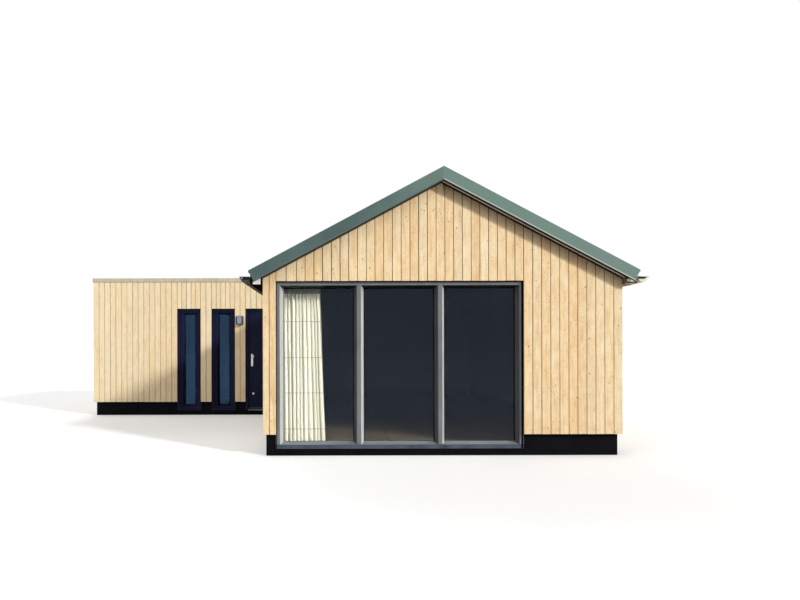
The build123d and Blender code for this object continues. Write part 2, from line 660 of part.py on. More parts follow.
# Entrance door
def entrance():
    face = ANNEX_FRONT + FRAME_RECESS
    rebate = face + DOOR_STOP
    leaf_face = rebate + LEAF_GAP
    back = leaf_face + LEAF
    left, right = DOOR_LEFT + DOOR_MEMBER, DOOR_RIGHT - DOOR_MEMBER
    inner = DOOR_MEMBER - DOOR_REBATE
    frame = block(DOOR_LEFT, DOOR_RIGHT, face, back, SLAB_TOP, HEAD_HEIGHT)
    frame -= block(left, right, face, back, SLAB_TOP, HEAD_HEIGHT - DOOR_MEMBER)
    frame -= block(DOOR_LEFT + inner, DOOR_RIGHT - inner, rebate, back, SLAB_TOP, HEAD_HEIGHT - inner)
    save("door_frame", frame)
    leaf_bottom = FLOOR_TOP + LEAF_OVER_FLOOR
    leaf_top = HEAD_HEIGHT - inner - LEAF_GAP
    nose = face - THRESHOLD_NOSE
    save("door_threshold", block(left + JOINT, right - JOINT, nose, back, SLAB_TOP, leaf_bottom - LEAF_GAP))

    leaf_left = DOOR_LEFT + inner + LEAF_GAP
    leaf_right = DOOR_RIGHT - inner - LEAF_GAP
    save("door_leaf", block(leaf_left, leaf_right, leaf_face, back, leaf_bottom, leaf_top))

    plate_x = leaf_left + HANDLE_FROM_EDGE
    spindle = FLOOR_TOP + PLATE_OVER_FLOOR + PLATE_HEIGHT - KNOB_FROM_TOP
    save(
        "door_handles",
        knob_plate(plate_x, leaf_face, spindle),
        lever_plate(plate_x, back, spindle),
        disc(plate_x + KNOB_RADIUS, leaf_face, FLOOR_TOP + LOCK_OVER_FLOOR, LOCK_RADIUS, -PLATE),
    )

    axis_x = leaf_right + LEAF_GAP / 2
    axis_y = back + HINGE_OFFSET
    lowest = leaf_bottom + HINGE_FROM_BOTTOM
    highest = leaf_top - HINGE_FROM_TOP
    heights = (lowest, (lowest + highest) / 2, highest)
    save("frame_hinges", *[hinge_on_frame(axis_x, axis_y, z, back) for z in heights])
    save("leaf_hinges", *[hinge_on_leaf(axis_x, axis_y, z, back) for z in heights])


def rounded_plate(x, y, depth):
    """A long backplate with round ends, standing off a face at y by depth."""
    middle = FLOOR_TOP + PLATE_OVER_FLOOR + PLATE_HEIGHT / 2
    plane = Plane(origin=(x, y, middle), x_dir=(1, 0, 0), z_dir=(0, 1, 0))
    return extrude(plane * SlotOverall(PLATE_HEIGHT, PLATE_WIDTH, rotation=90), amount=depth)


def disc(x, y, z, radius, depth):
    """A round boss along Y from a face at y."""
    return extrude(Plane(origin=(x, y, z), x_dir=(1, 0, 0), z_dir=(0, 1, 0)) * Circle(radius), amount=depth)


def knob_plate(x, y, z):
    """Outer plate with an offset fixed knob on a short neck."""
    plate = rounded_plate(x, y, -PLATE)
    neck = disc(x, y, z, LEVER_RADIUS, -(KNOB_PROJECTION - KNOB_RADIUS))
    arm_y = y - (KNOB_PROJECTION - KNOB_RADIUS)
    arm = Plane(origin=(x, arm_y, z), z_dir=(1, 0, 0)) * Circle(LEVER_RADIUS)
    knob = Pos(x + KNOB_OFFSET, arm_y, z) * scale(Sphere(KNOB_RADIUS), by=(1, KNOB_FLATNESS, 1))
    return plate + neck + extrude(arm, amount=KNOB_OFFSET) + knob


def lever_plate(x, y, z):
    """Inner plate with a lever that points towards the hinges."""
    plate = rounded_plate(x, y, PLATE)
    reach = y + KNOB_PROJECTION - LEVER_RADIUS
    neck = disc(x, y, z, LEVER_RADIUS, KNOB_PROJECTION - LEVER_RADIUS)
    arm = extrude(Plane(origin=(x, reach, z), z_dir=(1, 0, 0)) * Circle(LEVER_RADIUS), amount=LEVER_LENGTH)
    return plate + neck + arm + Pos(x, reach, z) * Sphere(LEVER_RADIUS)


def hinge_on_frame(x, y, z, face):
    """Lower knuckle with its pin and the flag on the frame."""
    knuckle = Pos(x, y, z - HINGE_KNUCKLE / 2) * Cylinder(HINGE_RADIUS, HINGE_KNUCKLE)
    pin = Pos(x, y, z + HINGE_KNUCKLE / 2) * Cylinder(PIN_RADIUS, HINGE_KNUCKLE)
    flag = block(x, x + HINGE_FLAG, face, face + HINGE_PLATE, z - HINGE_KNUCKLE, z)
    web = block(x, x + HINGE_PLATE, face, y, z - HINGE_KNUCKLE, z)
    return knuckle + pin + flag + web


def hinge_on_leaf(x, y, z, face):
    """Upper knuckle, bored for the pin, and the flag on the leaf."""
    z0, z1 = z + JOINT, z + HINGE_KNUCKLE
    body = Pos(x, y, (z0 + z1) / 2) * Cylinder(HINGE_RADIUS, z1 - z0)
    body += block(x - HINGE_FLAG, x, face, face + HINGE_PLATE, z0, z1)
    body += block(x - HINGE_PLATE, x, face, y, z0, z1)
    bore = Pos(x, y, (z0 + z1) / 2) * Cylinder(PIN_RADIUS + PIN_CLEARANCE, 2 * HINGE_KNUCKLE)
    return body - bore


# Curtain and lamp
def curtain():
    """A closed solid of the gathered curtain's outer shape, hung under its rail."""
    left = -INNER_X + CURTAIN_FROM_SIDE
    rail_bottom = HEAD_HEIGHT + RAIL_OVER_HEAD
    rail_top = rail_bottom + RAIL_HEIGHT
    z0, z1 = FLOOR_TOP + CURTAIN_FLOOR_GAP, rail_bottom - JOINT
    y0 = INNER_FRONT + CURTAIN_FROM_WALL
    outline = [
        (left, z0), (left + CURTAIN_BOTTOM_WIDTH, z0), (left + CURTAIN_TOP_WIDTH, z1), (left, z1)
    ]
    save("curtain", prism(outline, y0, y0 + CURTAIN_DEPTH))
    centre = y0 + CURTAIN_DEPTH / 2
    half = RAIL_WIDTH / 2
    rail = block(left, left + RAIL_LENGTH, centre - half, centre + half, rail_bottom, rail_top)
    half = RAIL_BRACKET / 2
    for x in (left + RAIL_BRACKET, left + RAIL_LENGTH - RAIL_BRACKET):
        rail += block(x - half, x + half, INNER_FRONT + JOINT, centre, rail_bottom, rail_top)
    save("curtain_rail", rail)


def wall_lamp():
    """A square lantern held in a U-shaped bracket on the boards."""
    centre = DOOR_LEFT - PIER_AT_DOOR / 2
    x0, x1 = centre - LAMP_WIDTH / 2, centre + LAMP_WIDTH / 2
    y1 = ANNEX_FRONT - JOINT
    y0 = y1 - LAMP_DEPTH
    top = HEAD_HEIGHT - LAMP_UNDER_HEAD
    bottom = top - LAMP_HEIGHT
    bracket = block(x0, x1, y0, y1, bottom, top)
    bracket -= block(x0 + LAMP_BRACKET, x1 - LAMP_BRACKET, y0, y1 - LAMP_BRACKET, bottom + LAMP_BRACKET, top)
    save("lamp_bracket", bracket)
    wall = LAMP_BRACKET + JOINT
    shade = block(
        x0 + wall, x1 - wall, y0 + LAMP_SHADE_INSET, y1 - wall, bottom + wall, top + LAMP_SHADE_INSET
    )
    save("lamp_shade", fillet(shade.edges().filter_by(Axis.Z), LAMP_SHADE_INSET))


os.makedirs("parts", exist_ok=True)
base()
main_walls()
annex_walls()
claddings()
roof_panels()
roof_sheets()
ridge_cap()
verge_trims()
eaves_boxes()
rainwater()
annex_roof()
screen()
annex_windows()
entrance()
curtain()
wall_lamp()
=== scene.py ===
"""Timber bungalow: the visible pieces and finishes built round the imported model."""

import math
import random

import bmesh
import bpy
from bpy.props import FloatProperty, FloatVectorProperty, IntProperty, PointerProperty
from mathutils import Matrix, Quaternion, Vector, noise


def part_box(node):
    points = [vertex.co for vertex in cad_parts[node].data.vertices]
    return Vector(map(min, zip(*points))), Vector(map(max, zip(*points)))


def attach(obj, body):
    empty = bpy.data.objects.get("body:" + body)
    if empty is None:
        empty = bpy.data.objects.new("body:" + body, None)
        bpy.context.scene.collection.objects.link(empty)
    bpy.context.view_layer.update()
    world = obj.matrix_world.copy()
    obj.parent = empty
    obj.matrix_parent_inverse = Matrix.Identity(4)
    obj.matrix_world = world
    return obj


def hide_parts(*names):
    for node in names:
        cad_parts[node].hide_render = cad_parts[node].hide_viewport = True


bl_info = {
    "name": "Timber Bungalow",
    "version": (1, 0, 0),
    "blender": (4, 5, 0),
    "location": "View3D > Sidebar > Bungalow",
    "description": "Builds the boards, frames, glass, curtain and finishes of a timber bungalow",
    "category": "Object",
}

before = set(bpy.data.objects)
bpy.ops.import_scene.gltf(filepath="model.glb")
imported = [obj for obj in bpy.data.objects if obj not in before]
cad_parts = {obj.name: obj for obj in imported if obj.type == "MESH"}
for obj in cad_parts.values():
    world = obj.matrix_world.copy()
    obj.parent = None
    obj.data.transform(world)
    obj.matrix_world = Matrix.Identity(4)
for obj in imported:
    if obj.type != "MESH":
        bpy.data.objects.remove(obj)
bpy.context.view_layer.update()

HOUSE = "house"
DOOR = "entrance_door"
FINISHES = {}               # by name; some names are also those of packed materials
PITCH = math.radians(28.0)
SINE, COSINE, RISE = math.sin(PITCH), math.cos(PITCH), math.tan(PITCH)


def low(node):
    """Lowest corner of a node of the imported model."""
    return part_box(node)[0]


def high(node):
    """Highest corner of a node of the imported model."""
    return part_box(node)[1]


FRONT = low("main_front_cladding").y
BACK = high("main_back_cladding").y
SIDE = high("main_front_cladding").x
ANNEX_FRONT = low("annex_front_cladding").y
ANNEX_SIDE = low("annex_front_cladding").x
CLADDING = high("main_front_cladding").y - FRONT
BOARD_BOTTOM = low("main_front_cladding").z
GABLE_TOP = high("main_front_cladding").z
EAVES_TOP = high("main_side_claddings").z
RIDGE = high("verge_trims_left").z - 0.008 / COSINE
ANNEX_TOP = high("annex_front_cladding").z
CHEEK_RIGHT = high("annex_front_cladding").x
HEAD = high("screen_frame").z
LAP = 0.010                 # boards over the edge of a frame
HEAD_FOOT = HEAD - 0.002    # foot of the boards over the screen
SHORT = 0.03                # battens short of a corner, side boards short of the eaves
MEMBRANE = 0.002            # back of the cladding to the face of the membrane
WINDOW_WIDTH = 0.541
SIGHTLINE = 0.0117          # pane edge hidden in its rebate
HEM = 0.0155                # folded foot of the verge trim
HEADER_FOOT = 2.254         # where the header of the curtain starts
GUTTER_BEAD = 0.008
NARROW_GAP = 0.004          # over the boards under the left verge


def solids_of(node):
    """Lowest and highest corner of each separate solid in a node, from left to right."""
    bm = bmesh.new()
    bm.from_mesh(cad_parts[node].data)
    bmesh.ops.remove_doubles(bm, verts=bm.verts[:], dist=1e-5)
    boxes = []
    seen = set()
    for first in bm.verts:
        if first in seen:
            continue
        seen.add(first)
        part, waiting = [first], [first]
        while waiting:
            for edge in waiting.pop().link_edges:
                for vert in edge.verts:
                    if vert not in seen:
                        seen.add(vert)
                        part.append(vert)
                        waiting.append(vert)
        boxes.append(tuple(Vector(pick(vert.co[i] for vert in part) for i in range(3))
                           for pick in (min, max)))
    bm.free()
    return sorted(boxes, key=lambda box: tuple(box[0]))


# Meshes

def add_box(bm, lo, hi):
    """A box between two corners; returns its vertices."""
    middle = [(a + b) / 2 for a, b in zip(lo, hi)]
    size = [abs(b - a) for a, b in zip(lo, hi)]
    place = Matrix.Translation(middle) @ Matrix.Diagonal(size + [1])
    return bmesh.ops.create_cube(bm, size=1, matrix=place)["verts"]


def add_rod(bm, start, end, radius, segments):
    """A closed cylinder between two points."""
    start, end = Vector(start), Vector(end)
    run = end - start
    turn = Vector((0, 0, 1)).rotation_difference(run).to_matrix().to_4x4()
    bmesh.ops.create_cone(
        bm, cap_ends=True, segments=segments, radius1=radius, radius2=radius, depth=run.length,
        matrix=Matrix.Translation((start + end) / 2) @ turn,
    )


def push(bm, faces, way):
    """Extrude faces along a vector."""
    deep = bmesh.ops.extrude_face_region(bm, geom=faces)["geom"]
    moved = [part for part in deep if isinstance(part, bmesh.types.BMVert)]
    bmesh.ops.translate(bm, verts=moved, vec=way)


def add_ring(bm, lo, hi, width):
    """A rectangular ring standing in X and Z, as deep in Y as its two corners say."""
    corners = (lo[0], lo[2]), (hi[0], lo[2]), (hi[0], hi[2]), (lo[0], hi[2])
    outer = bm.faces.new([bm.verts.new((x, lo[1], z)) for x, z in corners])
    outer.normal_update()
    rim = bmesh.ops.inset_region(
        bm, faces=[outer], thickness=width, use_boundary=True, use_even_offset=True
    )["faces"]
    bmesh.ops.delete(bm, geom=[outer], context="FACES_ONLY")
    push(bm, rim, (0, hi[1] - lo[1], 0))


def add_strap(bm, centre, radius, thick, width, start, end, steps):
    """A flat strap bent round an axis along Y, from one angle to another."""
    angle = math.radians(start)
    out = Vector((math.cos(angle), 0, math.sin(angle)))
    half, outer = width / 2, radius + thick
    face = bm.faces.new([
        bm.verts.new(centre + out * far + Vector((0, along, 0)))
        for far, along in ((radius, -half), (outer, -half), (outer, half), (radius, half))
    ])
    bmesh.ops.spin(
        bm, geom=[face] + face.edges[:] + face.verts[:], cent=centre, axis=(0, -1, 0),
        angle=math.radians(end - start), steps=steps, use_merge=False, use_duplicate=False,
    )


def saw(bm, point, normal):
    """Cut a mesh off beyond a plane and close the cuts."""
    cut = bmesh.ops.bisect_plane(
        bm, geom=bm.verts[:] + bm.edges[:] + bm.faces[:], dist=1e-6, plane_co=point,
        plane_no=normal, clear_outer=True,
    )["geom_cut"]
    edges = [part for part in cut if isinstance(part, bmesh.types.BMEdge)]
    bmesh.ops.holes_fill(bm, edges=edges, sides=0)


def saw_gable(bm, gap):
    """Cut a wall off along both slopes of the roof, with a narrower gap on the left; the wider gap
    on the right shows the black membrane as painted shade under the right verge.
    """
    for side, open_by in ((-1, min(gap, NARROW_GAP)), (1, gap)):
        saw(bm, (0, 0, GABLE_TOP - open_by), (side * SINE, 0, COSINE))


def saw_cheek(bm, gap):
    """Cut a cheek off where it meets the slope below it."""
    saw(bm, (0, 0, RIDGE + 0.015 / COSINE), (SINE, 0, -COSINE))


def ease(bm, edges, width, segments=1):
    """Bevel edges."""
    bmesh.ops.bevel(
        bm, geom=edges, offset=width, offset_type="OFFSET", segments=segments, profile=0.5,
        affect="EDGES", material=-1, clamp_overlap=True,
    )


def ease_sharp(bm, width, segments=1, degrees=40):
    """Bevel the edges whose two faces meet at more than an angle."""
    limit = math.radians(degrees)
    ease(bm, [edge for edge in bm.edges
              if len(edge.link_faces) == 2 and edge.calc_face_angle(0) > limit], width, segments)


def ease_rims(bm, out, width, segments=1):
    """Bevel the rims of the faces that look one way."""
    rims = dict.fromkeys(edge for face in bm.faces if face.normal.dot(out) > 0.99
                         for edge in face.edges)
    ease(bm, list(rims), width, segments)


def lot_layer(bm):
    """The vertex colours that hold the random values of each board or tile."""
    return bm.verts.layers.float_color.get("board") or bm.verts.layers.float_color.new("board")


def place_piece(bm, name, finish, stands_for=(), smooth=None, body=HOUSE, among=FINISHES):
    """Turn a mesh into a piece that rides on a body."""
    bmesh.ops.recalc_face_normals(bm, faces=bm.faces[:])
    mesh = bpy.data.meshes.new(name)
    bm.to_mesh(mesh)
    bm.free()
    mesh.materials.append(among[finish])
    if smooth is not None:
        mesh.polygons.foreach_set("use_smooth", [True] * len(mesh.polygons))
        mesh.set_sharp_from_angle(angle=math.radians(smooth))
    made = bpy.data.objects.new(name, mesh)
    bpy.context.scene.collection.objects.link(made)
    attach(made, body)
    if stands_for:
        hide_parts(*stands_for)
    return made


def dress(finish, *names):
    """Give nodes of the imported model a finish."""
    for name in names:
        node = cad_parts[name]
        if not node.material_slots:
            node.data.materials.append(None)
        for slot in node.material_slots:
            slot.material = FINISHES[finish]


# Colours and node trees

def tone(red, green, blue):
    """A colour given as screen values from 0 to 255."""
    linear = []
    for value in (red, green, blue):
        share = value / 255
        linear.append(share / 12.92 if share <= 0.04045 else ((share + 0.055) / 1.055) ** 2.4)
    return (*linear, 1.0)


def shaded(colour, *shares, lift=0.0):
    """A colour times one share, or one for each channel."""
    shares = shares * 3 if len(shares) == 1 else shares
    return [min(1.0, value * share + lift) for value, share in zip(colour, shares)] + [1.0]


def lit_tone(colour):
    """A paler tone of a coating, painted as light where the coating is to look sunlit."""
    return shaded(colour, 2.24, 2.09, 1.83)


class Value:
    """A value in a node tree; arithmetic on it adds Math nodes."""

    def __init__(self, nodes, socket):
        self.nodes = nodes
        self.socket = socket

    def __add__(self, other):
        return self.nodes.math("ADD", self, other)

    def __sub__(self, other):
        return self.nodes.math("SUBTRACT", self, other)

    def __rsub__(self, other):
        return self.nodes.math("SUBTRACT", other, self)

    def __mul__(self, other):
        return self.nodes.math("MULTIPLY", self, other)

    def __lt__(self, other):
        return self.nodes.math("LESS_THAN", self, other)

    def __gt__(self, other):
        return self.nodes.math("GREATER_THAN", self, other)

    def __or__(self, other):
        return self.nodes.math("MAXIMUM", self, other)

    def __abs__(self):
        return self.nodes.math("ABSOLUTE", self)

    def sine(self):
        return self.nodes.math("SINE", self)

    def ramp(self, *stops):
        """This value through a colour ramp, given as positions and grey values."""
        made = self.nodes.tree.nodes.new("ShaderNodeValToRGB")
        self.nodes.plug(made, {0: self})
        points = made.color_ramp.elements
        while len(points) < len(stops):
            points.new(0.5)
        for point, (position, grey) in zip(points, stops):
            point.position = position
            point.color = (grey, grey, grey, 1)
        return Value(self.nodes, made.outputs[0])


class Nodes:
    """A node tree and short ways to add to it."""

    def __init__(self, tree):
        self.tree = tree

    def plug(self, node, values):
        """Set a node's inputs; values of the tree become links."""
        for key, value in values.items():
            if isinstance(value, Value):
                self.tree.links.new(value.socket, node.inputs[key])
            else:
                node.inputs[key].default_value = value

    def add(self, kind, values=None, out=0, **settings):
        """Add a node; returns one output, or a list where several are named."""
        made = self.tree.nodes.new("ShaderNode" + kind)
        for key, value in settings.items():
            setattr(made, key, value)
        self.plug(made, values or {})
        if isinstance(out, tuple):
            return [Value(self, made.outputs[name]) for name in out]
        return Value(self, made.outputs[out])

    def math(self, operation, first, second=0.0):
        return self.add("Math", {0: first, 1: second}, operation=operation)

    def vector(self, operation, first, second=(0, 0, 0)):
        return self.add("VectorMath", {0: first, 1: second}, operation=operation)

    def mix(self, share, first, second, mode="MIX"):
        """Two colours mixed."""
        return self.add("Mix", {0: share, 6: first, 7: second}, 2, data_type="RGBA",
                        blend_type=mode)

    def place(self):
        """Object coordinates."""
        return self.add("TexCoord", out="Object")

    def axes(self, where=None):
        """The three numbers of a place or colour, Object coordinates if none is given."""
        return self.add("SeparateXYZ", {0: where or self.place()}, (0, 1, 2))

    def lots(self, colour):
        """The channels of a colour."""
        return self.add("SeparateColor", {0: colour}, (0, 1, 2))

    def stretched(self, stretch=(1, 1, 1), where=None):
        """A place scaled along each axis."""
        return self.add("Mapping", {"Vector": where or self.place(), "Scale": stretch})

    def noise(self, scale, detail=3.0, rough=0.55, distort=0.0, stretch=(1, 1, 1), where=None):
        """A noise texture; without a stretch it reads the place as it is."""
        place = self.stretched(stretch, where) if stretch else where
        return self.add("TexNoise", {"Vector": place, "Scale": scale, "Detail": detail,
                                     "Roughness": rough, "Distortion": distort}, "Fac")

    def cells(self, scale, where):
        """Distance and colour of a Voronoi texture."""
        return self.add("TexVoronoi", {"Vector": where, "Scale": scale, "Randomness": 1.0},
                        ("Distance", "Color"))

    def on_left(self):
        """1 on the left half of the main volume, 0 on the right."""
        return self.axes()[0] < 0.0

    def on_right(self):
        """1 on the right half of the main volume, 0 on the left."""
        return self.axes()[0] > 0.0

    def facing(self, axis, way):
        """1 on faces that look one way along an axis, 0 elsewhere."""
        normal = self.axes(self.add("TexCoord", out="Normal"))
        return normal["XYZ".index(axis)] * way > 0.5

    def within(self, *rooms):
        """1 inside any of the boxes given by two corners, 0 outside."""
        found = 0.0
        for lo, hi in rooms:
            middle = [(a + b) / 2 for a, b in zip(lo, hi)]
            half = [(b - a) / 2 for a, b in zip(lo, hi)]
            away = self.vector("ABSOLUTE", self.vector("SUBTRACT", self.place(), middle))
            x, y, z = self.axes(self.vector("SUBTRACT", away, half))
            found = self.math("MAXIMUM", found, (x | y | z) < 0.0)
        return found

    def looked_at(self):
        """1 where the camera looks straight, in a mirror or through glass, 0 for other light."""
        camera, glossy, through, depth = self.add("LightPath", out=(
            "Is Camera Ray", "Is Glossy Ray", "Is Transmission Ray", "Diffuse Depth"))
        return (camera | glossy | through) * (depth < 0.5)

    def show(self, share, first, second, output="Material Output"):
        """Two shaders mixed as the surface."""
        mixed = self.add("MixShader", {0: share, 1: first, 2: second})
        self.plug(self.tree.nodes[output], {"Surface": mixed})


class Finish(Nodes):
    """A material's node tree, with its Principled shader and the colour laid on so far."""

    def __init__(self, name):
        material = FINISHES[name] = bpy.data.materials.new(name)
        material.use_nodes = True
        super().__init__(material.node_tree)
        self.shader = self.tree.nodes["Principled BSDF"]
        self.colour = None

    def start(self, share, first, second):
        """Begin the colour with a mix of two."""
        self.colour = self.mix(share, first, second)
        self.plug(self.shader, {"Base Color": self.colour})

    def lay(self, share, colour, mode="MIX"):
        """Lay another colour over part of the finish."""
        self.colour = self.mix(share, self.colour, colour, mode)
        self.plug(self.shader, {"Base Color": self.colour})

    def surface(self, gloss, relief=None, depth=0.0, strength=0.5, **levels):
        """Roughness, bump and the shader's own levels, such as Sheen_Weight."""
        self.plug(self.shader, {"Roughness": gloss})
        self.plug(self.shader, {name.replace("_", " "): level for name, level in levels.items()})
        if relief:
            bump = self.add("Bump", {"Height": relief, "Distance": depth, "Strength": strength})
            self.plug(self.shader, {"Normal": bump})


# Finishes

CLOUDED = ((0.35, 0.0), (0.65, 1.0))


def own_place(finish, shift):
    """A place moved by each board's or tile's random colour, and that colour's channels."""
    lot = finish.add("Attribute", out="Color", attribute_name="board", attribute_type="GEOMETRY")
    moved = finish.vector("MULTIPLY", lot, shift)
    return finish.vector("ADD", finish.place(), moved), finish.lots(lot)


def timber_finish(pale, warm, grey):
    """Sawn boards with upright grain, small knots and a tone of its own for each board; painted
    shade darkens the gable boards under the right verge.
    """
    f = Finish("cladding_timber")
    own, lot = own_place(f, (31.0, 17.0, 43.0))
    fibres = f.noise(1.0, 4.0, 0.6, 0.0, (230, 230, 5.0), own)
    streaks = f.noise(1.0, 3.0, 0.5, 0.0, (30, 30, 0.9), own)
    rings = f.math("PINGPONG", f.noise(1.0, 1.5, 0.45, 0.0, (7.5, 7.5, 0.40), own) * 15.0, 1.0)
    patches = f.noise(1.0, 5.0, 0.62, 0.0, (10, 10, 5.0), own)
    f.start(lot[0].ramp((0.25, 0.0), (0.95, 1.0)), pale, warm)
    f.lay(lot[1].ramp((0.55, 0.0), (1.0, 1.0)) * 0.35, grey)
    f.lay(patches.ramp((0.34, 0.32), (0.54, 0.0)), tone(228, 200, 172), "MULTIPLY")
    f.lay(patches.ramp((0.52, 0.0), (0.70, 0.40)), tone(255, 240, 208))
    f.lay(rings.ramp((0.62, 0.0), (0.97, 1.0)) * 0.20, tone(214, 172, 122), "MULTIPLY")
    f.lay(streaks.ramp((0.34, 0.16), (0.62, 0.0)), tone(224, 188, 146), "MULTIPLY")
    f.lay(fibres.ramp((0.30, 0.26), (0.58, 0.0)), tone(196, 168, 138), "MULTIPLY")

    knot, lottery = f.cells(1.0, f.stretched((11, 11, 7.0), own))
    chosen = f.lots(lottery)[0] < 0.75
    wavy = knot + streaks * 0.05
    core = wavy.ramp((0.075, 1.0), (0.105, 0.0)) * chosen
    f.lay(wavy.ramp((0.10, 0.30), (0.20, 0.0)) * chosen, tone(226, 184, 140), "MULTIPLY")
    f.lay(core * 0.85, tone(116, 78, 46))
    fleck, lottery = f.cells(1.0, f.stretched((60, 60, 22), own))
    some = f.lots(lottery)[0] < 0.32
    f.lay(fleck.ramp((0.14, 0.75), (0.22, 0.0)) * some, tone(134, 94, 58))

    f.lay(f.within(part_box("annex_front_cladding")) * 0.3, tone(240, 234, 207))
    x, _, z = f.axes()
    # Painted shade: the gable boards on the right darken towards the verge above them.
    below = GABLE_TOP - x * RISE - z
    painted_verge_shade = below.ramp((0.03, 0.72), (0.15, 0.36), (0.19, 0.0)) * (x > 0.0)
    f.lay(painted_verge_shade, tone(108, 96, 92), "MULTIPLY")
    f.surface(fibres * 0.25 + 0.52, fibres * 0.7 + rings * 0.3 - core * 0.5, 0.0012, 0.6,
              Specular_IOR_Level=0.3)


def coated_finish(name, colour, rough=0.42, dust=0.10, streaks=(9, 9, 1.2), shine=0.3):
    """Powder-coated or painted metal: fine orange peel, dusty runs and uneven gloss."""
    f = Finish(name)
    runs = f.noise(1.0, 5.0, 0.6, 0.0, streaks)
    f.start(f.noise(2.3, 4.0).ramp(*CLOUDED), shaded(colour, 0.80), colour)
    f.lay(runs.ramp((0.46, 0.0), (0.72, 1.0)) * (dust * 3.0), shaded(colour, 1.5, lift=0.035))
    f.surface(runs * 0.22 + (rough - 0.11), f.noise(900.0, 2.0, 0.5), 0.0002, 0.35,
              Specular_IOR_Level=shine)
    return f


def worn_metal_finish(name, colour, rough, brush=(1, 1, 60)):
    """Bare metal with brushing and faint stains."""
    f = Finish(name)
    lines = f.noise(40.0, 3.0, 0.6, 0.0, brush)
    f.start(f.noise(6.0, 5.0, 0.6).ramp((0.38, 0.0), (0.66, 1.0)), shaded(colour, 0.72), colour)
    f.surface(lines * 0.25 + (rough - 0.12), lines, 0.0001, 0.4, Metallic=0.85)


def stone_finish(name, first, second, grain, rough, relief=0.002, shine=0.15):
    """Concrete, tiles or bitumen: clouded and gritty."""
    f = Finish(name)
    grit = f.noise(grain, 4.0, 0.65)
    f.start(f.noise(3.1, 6.0, 0.62, 0.4).ramp((0.36, 0.0), (0.66, 1.0)), first, second)
    f.lay(grit.ramp((0.30, 0.35), (0.62, 0.0)), shaded(first, 0.55))
    f.surface(grit * 0.2 + (rough - 0.1), grit, relief, Specular_IOR_Level=shine)
    return f


def zinc_finish():
    """Weathered zinc: crystal clouds, pale bloom and water marks; painted shade makes it dark on
    the left.
    """
    f = Finish("weathered_zinc_with_left_shade")
    crystal = f.lots(f.cells(70.0, f.stretched())[1])[0]
    bloom = f.noise(5.0, 6.0, 0.62, 0.0, (1, 1, 2))
    f.start(bloom.ramp(*CLOUDED), tone(186, 184, 170), tone(222, 216, 194))
    f.lay(crystal * 0.16, tone(120, 125, 128))
    # Painted shade: the zinc parts on the left are dark.
    f.lay(f.on_left(), f.mix(bloom, tone(34, 38, 44), tone(60, 66, 73)))
    f.surface(crystal * 0.12 + 0.42, bloom, 0.0006, 0.3, Metallic=0.35)


def lining_finish():
    """Rolled wall paint in a dark grey-blue, partly the paint's own tone and partly painted shade
    for the dim rooms.
    """
    f = Finish("wall_lining")
    colour = tone(112, 115, 124)
    roller = f.noise(420.0, 3.0, 0.6)
    f.start(f.noise(1.4, 4.0, 0.6).ramp(*CLOUDED), shaded(colour, 0.93), colour)
    f.surface(roller * 0.2 + 0.6, roller, 0.0006, 0.35)


def base_finish(name, first, second, grain):
    """Dark base outside, painted lining on the faces inside the rooms."""
    f = stone_finish(name, first, second, grain, 0.78, 0.001)
    near, reveal = 0.001, 0.10
    between = (low("main_left_walls").x + high("main_left_walls").x) / 2
    rooms = []
    for node, left, right in (
        ("main_floor", between, high("main_floor").x + near),
        ("annex_floor", low("annex_floor").x - near, between),
    ):
        lo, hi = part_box(node)
        rooms.append(((left, lo.y - reveal, lo.z + near), (right, hi.y + near, 0.5)))
    # The inside faces take the dark lining tone, partly painted shade for the dim rooms.
    inside = f.mix(f.noise(1.4, 4.0, 0.6), tone(104, 107, 116), tone(112, 115, 124))
    f.lay(f.within(*rooms), inside)


def ceiling_finish():
    """Roof panels: painted inside; outside the walls pale on the right, and painted shade makes
    them dark on the left and black in bands by the trim and by the boards.
    """
    f = Finish("roof_panel_boarding")
    along = abs(f.axes()[1])
    clouds = f.noise(3.0, 5.0, 0.6, 0.0, (2, 2, 6))
    outside = f.mix(clouds, tone(206, 196, 190), tone(224, 214, 206))
    # Painted shade: the overhang on the left is dark.
    outside = f.mix(f.on_left(), outside, tone(26, 22, 20))
    # Painted shade: black bands by the trim and by the boards, around a pale band.
    pale_band = (along > BACK + 0.014) * (along < high("main_roof_left").y - 0.034)
    outside = f.mix(pale_band, tone(9, 8, 8), outside)
    # Inside: the dark lining tone, partly painted shade for the dim rooms.
    inside = f.mix(clouds, tone(110, 113, 122), tone(122, 125, 134))
    f.start(along > BACK - CLADDING, inside, outside)
    f.surface(0.68, f.noise(350.0), 0.0005, 0.3)


